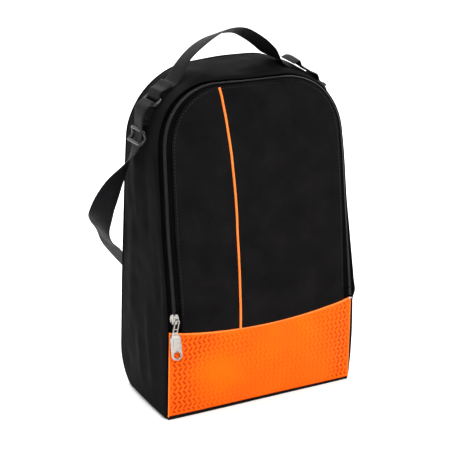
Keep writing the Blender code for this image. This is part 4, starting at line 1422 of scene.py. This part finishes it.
def on_pull(x, z, out):
    """The pull tab's own plane: x across, z up the tab, out of its front."""
    y = pull_mid_y + (z - pull_mid_z) * slope
    return np.array((pull_x - 0.0006 + x - (z - pull_mid_z) * PULL_TILT, y - out, z))


def pull_bead(name, outline, radius):
    """A raised bead on the pull's face."""
    path = [on_pull(x, z, PULL_HALF * 0.9) for x, z in outline]
    return rod(name, path, radius, NICKEL, up=(0.0, -1.0, 0.0), closed=True, around=8, flat=0.8)


def make_pull():
    """A die-cast tab: a raised rim round a sunken face with a raised pad, and a round hole at its foot."""
    parts = []
    outline = rounded_outline(PULL_WIDTH - 0.0006, pull_bottom, pull_top - 0.0012, 0.0050, 8)
    outer = even_loop(outline, 72)
    centre = np.array((0.0, HOLE_Z))
    angles = np.arctan2(outer[:, 1] - centre[1], outer[:, 0] - centre[0])
    hole = centre + HOLE_RADIUS * np.stack([np.cos(angles), np.sin(angles)], axis=-1)
    rings = []
    for share, depth in PULL_SECTION:
        ring = outer + (hole - outer) * share
        rings.append([on_pull(x, z, depth * PULL_HALF) for x, z in ring])
    parts.append(swept("pull_plate", rings, NICKEL, closed=True))
    rim = rounded_outline(PULL_WIDTH - 0.0018, pull_bottom + 0.0006, pull_top - 0.0018, 0.0044, 8)
    parts.append(pull_bead("pull_rim", even_loop(rim, 90), 0.00055))
    turns = np.linspace(0, 2 * math.pi, 33)[:-1]
    ring = centre + (HOLE_RADIUS + 0.0004) * np.stack([np.cos(turns), np.sin(turns)], axis=-1)
    parts.append(pull_bead("pull_hole_rim", ring, 0.00042))
    pad = rounded_outline(PULL_WIDTH - 0.0056, HOLE_Z + HOLE_RADIUS + 0.0020, pull_top - 0.0056, 0.0020, 6)
    parts.append(plate("pull_pad", pad, (PULL_HALF * 0.7, PULL_HALF + 0.0007), on_pull, NICKEL, 0.0005))
    neck = rounded_outline(0.0066, pull_top - 0.0034, pull_top + 0.0012, 0.0014, 4)
    parts.append(plate("pull_neck", neck, (-PULL_HALF * 0.9, PULL_HALF * 0.9), on_pull, NICKEL, 0.0003))
    return join_all("pull_plate_tab", parts)


def make_link():
    """The wire link, from the slider's bail down to the tab's neck."""
    bottom = pull_top - 0.0006
    path = []
    for x, z in rounded_outline(LINK_WIDTH, bottom, pivot_z, 0.0014, 5):
        share = (pivot_z - z) / (pivot_z - bottom)
        sideways = link_x + x + (pull_x - 0.0016 - link_x) * share
        path.append((sideways, link_high.y - 0.0005 - (pivot_z - z) * slope, z))
    return rod("pull_wire", path, 0.0007, NICKEL, up=(0.0, -1.0, 0.0), closed=True, around=10)


ride_and_slot(make_pull(), "pull", "nickel", "pull_tab")
ride_and_slot(make_link(), "pull", "nickel", "pull_link")

# ------------------------------------------------------------ webbing


def webbing(name, centres, wides, cups=None, drapes=None):
    """A webbing along its centre line. A section may be cupped, and may drape over what is under it."""
    centres = np.asarray(centres, float)
    ahead = unit(np.gradient(centres, axis=0))
    wides = np.broadcast_to(np.asarray(wides, float), centres.shape)
    wides = unit(wides - np.sum(wides * ahead, axis=-1, keepdims=True) * ahead)
    ups = np.cross(ahead, wides)
    spots = np.linspace(-0.5, 0.5, 13)
    thick = WEBBING / 2 * np.minimum(1.0, np.sqrt(np.maximum(1 - (np.abs(spots) * 2) ** 10, 0.12)))
    profile = [(spot, half) for spot, half in zip(spots, thick)]
    profile += [(spot, -half) for spot, half in zip(spots[::-1], thick[::-1])]
    rings = []
    for i, centre in enumerate(centres):
        ring = []
        cup = 0.0 if cups is None else cups[i]
        for spot, height in profile:
            drape = 0.0 if drapes is None else drapes[i](spot * WEBBING_WIDTH)
            lift = height + cup * (1 - (2 * spot) ** 2) + drape
            ring.append(centre + wides[i] * spot * WEBBING_WIDTH + ups[i] * lift)
        rings.append(ring)
    across = np.array([spot for spot, _ in profile]) * WEBBING_WIDTH
    return swept(name, rings, WEB, uvs=band_uvs(across, lengths_along(centres)), sharp=50)


def shoulder_walk(side, turn):
    """The walk of a place on a shoulder, by its turn from straight up."""
    left = LEG + ARC - math.radians(turn) * CORNER_RADIUS
    return left if side < 0 else TOTAL - left


def wall_drape(walk, share):
    """How the wall falls away across the webbing's width, as a function of the place across it."""
    base = wall_point(walk, 0.0)
    _, normal = outline_at(walk)

    def drape(offset):
        spot = wall_point(walk, offset)
        return share * ((spot[0] - base[0]) * normal[0] + (spot[2] - base[2]) * normal[1])

    return drape


def on_shoulder(side, turn, lift):
    """A place on a shoulder's middle line, lifted off it."""
    return wall_point(shoulder_walk(side, turn), 0.0, lift)


HANDLE_LIFT = 0.0009
LEFT_LEG = ((-0.0680, 0.3418), (-0.0622, 0.3508), (-0.0542, 0.3600))
HANDLE_ARCH = (
    (-0.0440, 0.3680), (-0.0320, 0.3748), (-0.0200, 0.3790), (-0.0080, 0.3812),
    (0.0040, 0.3804), (0.0150, 0.3750), (0.0265, 0.3672),
)
RIGHT_LEG = ((0.0370, 0.3580), (0.0465, 0.3488))
# Where the webbing lifts off each shoulder, and the turns of its sewn stretches
LEFT_LIFTS_OFF = 29.5
RIGHT_LIFTS_OFF = 14.0
LEFT_SEWN = (41.0, 38.0, 35.0, 32.0, LEFT_LIFTS_OFF)
RIGHT_SEWN = (14.5, 18.0, 21.0, 24.0, 27.0)


def turned_over(section):
    return lambda offset: -section(offset)


def make_handle():
    """One webbing: sewn to the left shoulder, up over the hand's arch, and down to the right shoulder."""
    left_walk = shoulder_walk(-1, LEFT_LIFTS_OFF)
    right_walk = shoulder_walk(1, RIGHT_LIFTS_OFF)
    keys = []
    for turn in LEFT_SEWN:
        keys.append((on_shoulder(-1, turn, HANDLE_LIFT), shoulder_walk(-1, turn), 1.0))
    for (x, z), share in zip(LEFT_LEG, (0.7, 0.25, 0.05)):
        keys.append((np.array((x, 0.0, z)), left_walk, share))
    for x, z in HANDLE_ARCH:
        keys.append((np.array((x, 0.0, z)), left_walk, 0.0))
    for (x, z), share in zip(RIGHT_LEG, (0.2, 0.6)):
        keys.append((np.array((x, 0.0, z)), right_walk, share))
    for turn in RIGHT_SEWN:
        keys.append((on_shoulder(1, turn, HANDLE_LIFT), shoulder_walk(1, turn), 1.0))
    steps = 6
    path = smooth_path([place for place, _, _ in keys], steps)
    at_key = np.arange(len(path)) / steps
    walks = np.interp(at_key, np.arange(len(keys)), [walk for _, walk, _ in keys])
    shares = np.interp(at_key, np.arange(len(keys)), [share for _, _, share in keys])
    ahead = unit(np.gradient(path, axis=0))
    signs = np.sign(np.cross(ahead, ACROSS_Y)[:, 2] + 1e-9)
    sections = []
    for walk, share, place, sign in zip(walks, shares, path, signs):
        near = left_walk if place[0] < 0 else right_walk
        section = wall_drape(walk if share > 0.9 else near, share)
        sections.append(section if sign > 0 else turned_over(section))
    x = path[:, 0]
    before_right_leg = 1 - smoothstep(x, 0.036, 0.050)
    twist = -0.08 * smoothstep(x, -0.068, -0.055) * before_right_leg
    twist -= 0.30 * smoothstep(x, -0.045, -0.005) * before_right_leg
    wide = np.tile(ACROSS_Y, (len(path), 1))
    wide = unit(wide + twist[:, None] * np.cross(ahead, wide))
    arch = np.clip((path[:, 2] - 0.345) / 0.03, 0, 1)
    return webbing("handle_webbing", path, wide, cups=0.0007 * arch * signs, drapes=sections), path


handle, handle_path = make_handle()
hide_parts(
    "carry_handle",
    "handle_leg_left",
    "handle_leg_right",
    "handle_anchor_left",
    "handle_anchor_right",
)
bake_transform(handle)


def stitch_loop(name, side, turns, lift):
    """A box of stitches with a cross in it, sewn through the webbing on a shoulder."""
    low, high = turns
    half = WEBBING_WIDTH / 2 - 0.0024
    lines = [
        [(low, -half), (low, half)],
        [(high, -half), (high, half)],
        [(low, -half), (high, -half)],
        [(low, half), (high, half)],
        [(low, -half), (high, half)],
        [(low, half), (high, -half)],
    ]
    parts = []
    for i, ((turn0, y0), (turn1, y1)) in enumerate(lines):
        path = []
        out = []
        for share in np.linspace(0, 1, 12):
            walk = shoulder_walk(side, turn0 + (turn1 - turn0) * share)
            path.append(wall_point(walk, y0 + (y1 - y0) * share, lift))
            _, normal = outline_at(walk)
            out.append((normal[0], 0.0, normal[1]))
        parts.append(stitches(name + str(i), path, out, THREAD, pitch=0.0026, length=0.0019, radius=0.00026))
    return join_all(name, parts)


# The ring tabs: out from under the handle's end, round the ring's upper bar, and back on top
RING_TURN = math.degrees(math.atan2(UPPER_BAR[0] - CORNER_X, UPPER_BAR[1] - SHOULDER_Z))
RING_REACH = math.hypot(UPPER_BAR[0] - CORNER_X, UPPER_BAR[1] - SHOULDER_Z)
BAR_WRAP = RING_BAR + 0.0002 + WEBBING / 2


def polar(side, turn, reach):
    """A place by its turn and distance from the centre of a shoulder's arc."""
    turn = math.radians(turn)
    return np.array((side * (CORNER_X + reach * math.sin(turn)), 0.0, SHOULDER_Z + reach * math.cos(turn)))


# The right tab's upper layer stands up in a soft peak beside the handle's end
TAB_BULGE = 0.0062
TAB_BULGE_TURN = 23.0
TAB_BULGE_SPREAD = 2.6
TAB_LIFT = 0.0008
TAB_TOP_LIFT = TAB_LIFT + 2 * WEBBING + 0.0003
# For each side: its label, the turn where its tab starts, the turn where the stitches start, and knots on top
TABS = (
    (-1, "left", 28.0, 33.0, 5),
    (1, "right", 14.0, RING_TURN - 17.5, 7),
)


def make_tab(side, label, start, top_knots):
    keys = []
    for turn in np.linspace(start + 3.0, RING_TURN - 4.0, 7):
        keys.append((on_shoulder(side, turn, TAB_LIFT), turn, 0.9))
    for angle in np.linspace(-math.pi / 2, math.pi / 2, 7):
        turn = RING_TURN + math.degrees(BAR_WRAP * math.cos(angle) / RING_REACH)
        keys.append((polar(side, turn, RING_REACH + BAR_WRAP * math.sin(angle)), turn, 0.0))
    for turn, lift in ((RING_TURN - 4.0, 0.0020), (RING_TURN - 7.0, 0.0008)):
        keys.append((on_shoulder(side, turn, TAB_TOP_LIFT + lift), turn, 0.5))
    for turn in np.linspace(RING_TURN - 10.0, start + 4.0, top_knots):
        peak = math.exp(-(((turn - TAB_BULGE_TURN) / TAB_BULGE_SPREAD) ** 2))
        bulge = TAB_BULGE * peak if side > 0 else 0.0
        keys.append((on_shoulder(side, turn, TAB_TOP_LIFT + bulge), turn, 0.9))
    steps = 4
    path = smooth_path([place for place, _, _ in keys], steps)
    at_key = np.arange(len(path)) / steps
    turns = np.interp(at_key, np.arange(len(keys)), [turn for _, turn, _ in keys])
    weights = np.interp(at_key, np.arange(len(keys)), [weight for _, _, weight in keys])
    ups = np.cross(unit(np.gradient(path, axis=0)), ACROSS_Y)
    sections = []
    for turn, weight, up in zip(turns, weights, ups):
        sign = np.sign(up @ (polar(side, turn, 1.0) - polar(side, turn, 0.0)))
        sections.append(wall_drape(shoulder_walk(side, turn), weight * sign))
    return webbing("ring_tab_" + label + "_webbing", path, ACROSS_Y, drapes=sections), path


for side, label, tab_start, stitch_start, top_knots in TABS:
    tab, tab_path = make_tab(side, label, tab_start, top_knots)
    ride_and_slot(tab, "bag", "webbing", "ring_tab_" + label)
    stitch_turns = (stitch_start, RING_TURN - 11.0)
    sewn = stitch_loop("tab_stitches_" + label, side, stitch_turns, TAB_TOP_LIFT + WEBBING / 2 + 0.0002)
    ride_and_slot(sewn, "bag", "webbing")

for side, label in ((-1, "left"), (1, "right")):
    upper = np.array((side * UPPER_BAR[0], 0.0, UPPER_BAR[1]))
    lower = np.array((side * LOWER_BAR[0], 0.0, LOWER_BAR[1]))
    middle = (upper + lower) / 2
    down = unit(lower - upper)
    half_height = np.linalg.norm(lower - upper) / 2
    corners = even_loop(rounded_outline(2 * RING_HALF_LENGTH, -half_height, half_height, 0.0026, 8), 80)
    path = [middle + ACROSS_Y * x + down * z for x, z in corners]
    ring_up = np.cross(ACROSS_Y, down)
    ring = rod(label + "_ring_bar", path, RING_BAR, PLASTIC, up=ring_up, closed=True, around=16)
    ride_and_slot(ring, "bag", "black_plastic", label + "_ring")

# ------------------------------------------------------------ the shoulder strap

# The strap's route, as (place, way across the webbing)
STRAP_ROUTE = (
    ((-0.1078, 0.000, 0.3065), (0.10, 0.99, 0.00)),
    ((-0.1086, 0.000, 0.2950), (0.14, 0.99, 0.00)),
    ((-0.1094, 0.000, 0.2850), (0.14, 0.99, 0.00)),
    ((-0.1130, 0.000, 0.2730), (0.20, 0.98, 0.00)),
    ((-0.1205, 0.003, 0.2590), (0.44, 0.84, -0.31)),
    ((-0.1300, 0.010, 0.2400), (0.80, 0.45, -0.40)),
    ((-0.1375, 0.016, 0.2210), (0.90, 0.05, -0.42)),
    ((-0.1410, 0.024, 0.2030), (0.88, -0.20, -0.42)),
    ((-0.1380, 0.036, 0.1860), (0.60, -0.60, -0.52)),
    ((-0.1285, 0.047, 0.1700), (0.40, -0.80, -0.45)),
    ((-0.1166, 0.058, 0.1540), (0.55, -0.78, -0.25)),
    ((-0.1010, 0.070, 0.1330), (0.40, -0.88, -0.20)),
    ((-0.0740, 0.075, 0.0960), (0.00, -1.00, -0.15)),
    ((-0.0390, 0.075, 0.0560), (0.00, -1.00, 0.00)),
    ((0.0000, 0.075, 0.0380), (0.00, -1.00, 0.00)),
    ((0.0400, 0.075, 0.0540), (0.00, -1.00, 0.00)),
    ((0.0750, 0.075, 0.0950), (0.00, -1.00, 0.00)),
    ((0.1000, 0.072, 0.1350), (0.00, -1.00, 0.00)),
    ((0.1150, 0.062, 0.1760), (0.00, -1.00, 0.00)),
    ((0.1190, 0.044, 0.2200), (0.00, -1.00, 0.00)),
    ((0.1180, 0.025, 0.2560), (0.00, -1.00, 0.00)),
    ((0.1120, 0.010, 0.2860), (0.00, -1.00, 0.00)),
    ((0.1050, 0.002, 0.3035), (0.00, -1.00, 0.00)),
)
LEFT_BAR = np.array((-LOWER_BAR[0], 0.0, LOWER_BAR[1]))
RIGHT_BAR = np.array((LOWER_BAR[0], 0.0, LOWER_BAR[1]))
INNER_TOP = LEFT_BAR + np.array((-0.0042, 0.0, -0.0110))
INNER_FOOT = LEFT_BAR + np.array((-0.0062, 0.0, -0.0190))
ADJUSTER_CENTRE = np.array((-0.1094, 0.0, 0.2850))
ADJUSTER_LEAN = 0.34
ADJUSTER_ALONG = unit((ADJUSTER_LEAN, 0.0, 1.0))
ADJUSTER_OUT = np.array((-ADJUSTER_ALONG[2], 0.0, ADJUSTER_ALONG[0]))
CENTRE_BAR_BACK = 0.0038


def make_strap():
    """From the left ring's lower bar, through the adjuster, down and behind the bag, up to the right ring."""
    knots = [INNER_FOOT * 0.48 + INNER_TOP * 0.52, INNER_TOP]
    for angle in np.radians(np.linspace(-16.0, 143.0, 8)):
        knots.append(LEFT_BAR + np.array((math.cos(angle), 0.0, math.sin(angle))) * BAR_WRAP)
    knots.append(LEFT_BAR + np.array((-0.0076, 0.0, -0.0028)))
    wides = [-ACROSS_Y] * len(knots)
    knots += [np.array(place) for place, _ in STRAP_ROUTE[:-1]]
    wides = [ACROSS_Y] * len(wides) + [np.array(wide) for _, wide in STRAP_ROUTE[:-1]]
    end = np.array(STRAP_ROUTE[-1][0])
    knots.append(end)
    wides.append(-ACROSS_Y)
    outer = unit(RIGHT_BAR - end)
    side = np.array((outer[2], 0.0, -outer[0]))
    for angle in np.radians((-60, -20, 20, 60, 100, 140, 180, 215)):
        knots.append(RIGHT_BAR + (side * math.cos(angle) + outer * math.sin(angle)) * BAR_WRAP)
        wides.append(-ACROSS_Y)
    before = np.array(STRAP_ROUTE[-2][0])
    for back, lift in ((0.008, 0.0020), (0.014, 0.0018)):
        knots.append(RIGHT_BAR - outer * back - side * lift)
    for back in (0.0125, 0.0245):
        knots.append(end + unit(before - end) * back - side * 0.0017)
    wides += [-ACROSS_Y] * 4
    path = smooth_path(knots, 6)
    return webbing("strap_webbing_long", path, smooth_path(wides, 6)), path


strap, strap_path = make_strap()
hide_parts("strap_webbing", "strap_lead", "strap_sewn_end")
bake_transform(strap)


def make_return():
    """The strap's loose end, from beside the ring down to its loop round the adjuster's centre bar."""
    centre_bar = ADJUSTER_CENTRE - ADJUSTER_OUT * CENTRE_BAR_BACK
    turn = 0.0014 + WEBBING / 2
    knots = [INNER_FOOT * 0.46 + INNER_TOP * 0.54, INNER_FOOT]
    for angle in np.linspace(0, math.pi, 6):
        round_bar = ADJUSTER_OUT * math.cos(angle) + ADJUSTER_ALONG * math.sin(angle)
        knots.append(centre_bar - round_bar * turn)
    knots.append(centre_bar + ADJUSTER_OUT * turn + ADJUSTER_ALONG * 0.0025)
    path = smooth_path(knots, 5)
    return webbing("strap_return_webbing", path, ACROSS_Y), path


strap_return, return_path = make_return()
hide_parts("strap_return")
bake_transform(strap_return)


def on_adjuster(across, along, out):
    return ADJUSTER_CENTRE + ACROSS_Y * across + ADJUSTER_ALONG * along + ADJUSTER_OUT * out


RAIL_Y = WEBBING_WIDTH / 2 + 0.0016
RAIL_LENGTH = 0.0156
# The bars across, as (place along, place out, radius)
ADJUSTER_BARS = (
    (-0.0065, 0.0021, 0.0014),
    (0.0065, 0.0021, 0.0014),
    (0.0, -CENTRE_BAR_BACK, 0.0009),
)


def make_adjuster():
    """A moulded frame: two side rails that bow, two end bars in front, and a centre bar behind."""
    shares = np.linspace(0, 1, 21)
    radii = 0.00175 * np.minimum(1.0, 1.35 * np.sqrt(np.sin(math.pi * np.clip(shares, 0.03, 0.97))))
    parts = []
    for side in (-1, 1):
        path = []
        for share in shares:
            dip = 0.0034 * math.sin(math.pi * share) ** 2
            path.append(on_adjuster(side * RAIL_Y, RAIL_LENGTH * (share - 0.5), 0.0018 - dip))
        parts.append(rod("rail", path, radii, PLASTIC, up=ADJUSTER_OUT, around=14))
    for along, out, radius in ADJUSTER_BARS:
        path = [on_adjuster(across, along, out) for across in np.linspace(-RAIL_Y, RAIL_Y, 13)]
        parts.append(rod("bar", path, radius, PLASTIC, up=ADJUSTER_OUT, around=12, flat=0.85))
    depths = np.linspace(-CENTRE_BAR_BACK - 0.0006, 0.0, 5)
    for side in (-1, 1):
        path = [on_adjuster(side * RAIL_Y, 0.0, depth) for depth in depths]
        parts.append(rod("cheek", path, 0.0016, PLASTIC, up=ADJUSTER_ALONG, around=12))
    return join_all("adjuster_frame", parts)


ride_and_slot(make_adjuster(), "adjuster", "black_plastic", "strap_adjuster")

# ------------------------------------------------------------ floor, light and camera

FLOOR_REACH = 30
floor_material = new_material("studio_floor", (0.93, 0.93, 0.93), 0.85, Specular_IOR_Level=0.2)
floor_mesh = bpy.data.meshes.new("studio_floor")
turns = 2 * math.pi * np.arange(64) / 64
ring = [(FLOOR_REACH * math.cos(turn), FLOOR_REACH * math.sin(turn), 0.0) for turn in turns]
floor_mesh.from_pydata(ring, [], [tuple(range(64))])
floor_mesh.materials.append(floor_material)
floor = bpy.data.objects.new("studio_floor", floor_mesh)
bpy.context.scene.collection.objects.link(floor)


# Soft studio lights, as (name, place, height it points at, size, power)
LIGHTS = (
    ("key_light", (-0.35, -1.9, 1.9), 0.16, 0.9, 34),
    ("fill_light", (1.9, -1.5, 0.9), 0.16, 1.2, 12),
    ("top_light", (0.1, 0.9, 2.1), 0.2, 0.9, 38),
    ("back_light", (0.6, 2.0, 1.2), 0.2, 1.2, 10),
)
for name, place, aim, size, power in LIGHTS:
    data = bpy.data.lights.new(name, "AREA")
    data.shape = "DISK"
    data.size = size
    data.energy = power
    lamp = bpy.data.objects.new(name, data)
    lamp.location = place
    lamp.rotation_euler = (Vector((0, 0, aim)) - Vector(place)).to_track_quat("-Z", "Y").to_euler()
    bpy.context.scene.collection.objects.link(lamp)

SKY_LOW = 0.60
SKY_HIGH = 1.45
world = bpy.data.worlds.new("studio")
world.use_nodes = True
sky_tree = world.node_tree
sky_split = sky_tree.nodes.new("ShaderNodeSeparateXYZ")
sky_tree.links.new(sky_tree.nodes.new("ShaderNodeTexCoord").outputs["Generated"], sky_split.inputs[0])
sky_range = sky_tree.nodes.new("ShaderNodeMapRange")
sky_range.interpolation_type = "SMOOTHSTEP"
for socket, value in (("From Min", 0.0), ("From Max", 0.85), ("To Min", SKY_LOW), ("To Max", SKY_HIGH)):
    sky_range.inputs[socket].default_value = value
sky_tree.links.new(sky_split.outputs[2], sky_range.inputs["Value"])
sky_tree.links.new(sky_range.outputs[0], sky_tree.nodes["Background"].inputs[1])
sky_tree.nodes["Background"].inputs[0].default_value = (1.0, 1.0, 1.0, 1.0)
bpy.context.scene.world = world
bpy.context.scene.view_settings.view_transform = "Standard"

CAMERA_TURN = math.radians(27.9)
CAMERA_RISE = math.radians(18.3)
CAMERA_DISTANCE = 1.415
CAMERA_AIM_Z = 0.17
CAMERA_SHIFT_RIGHT = -0.0108
CAMERA_SHIFT_UP = 0.0056
camera_data = bpy.data.cameras.new("camera")
camera_data.lens = 108
camera_data.sensor_width = 36
camera = bpy.data.objects.new("camera", camera_data)
level = Vector((-math.sin(CAMERA_TURN), -math.cos(CAMERA_TURN), 0.0))
toward_camera = level * math.cos(CAMERA_RISE) + Vector((0.0, 0.0, math.sin(CAMERA_RISE)))
camera_right = Vector((math.cos(CAMERA_TURN), -math.sin(CAMERA_TURN), 0.0))
camera_up = toward_camera.cross(camera_right)
shift = camera_right * CAMERA_SHIFT_RIGHT + camera_up * CAMERA_SHIFT_UP
camera.location = Vector((0, 0, CAMERA_AIM_Z)) + toward_camera * CAMERA_DISTANCE + shift
camera.rotation_euler = (-toward_camera).to_track_quat("-Z", "Y").to_euler()
bpy.context.scene.collection.objects.link(camera)
bpy.context.scene.camera = camera
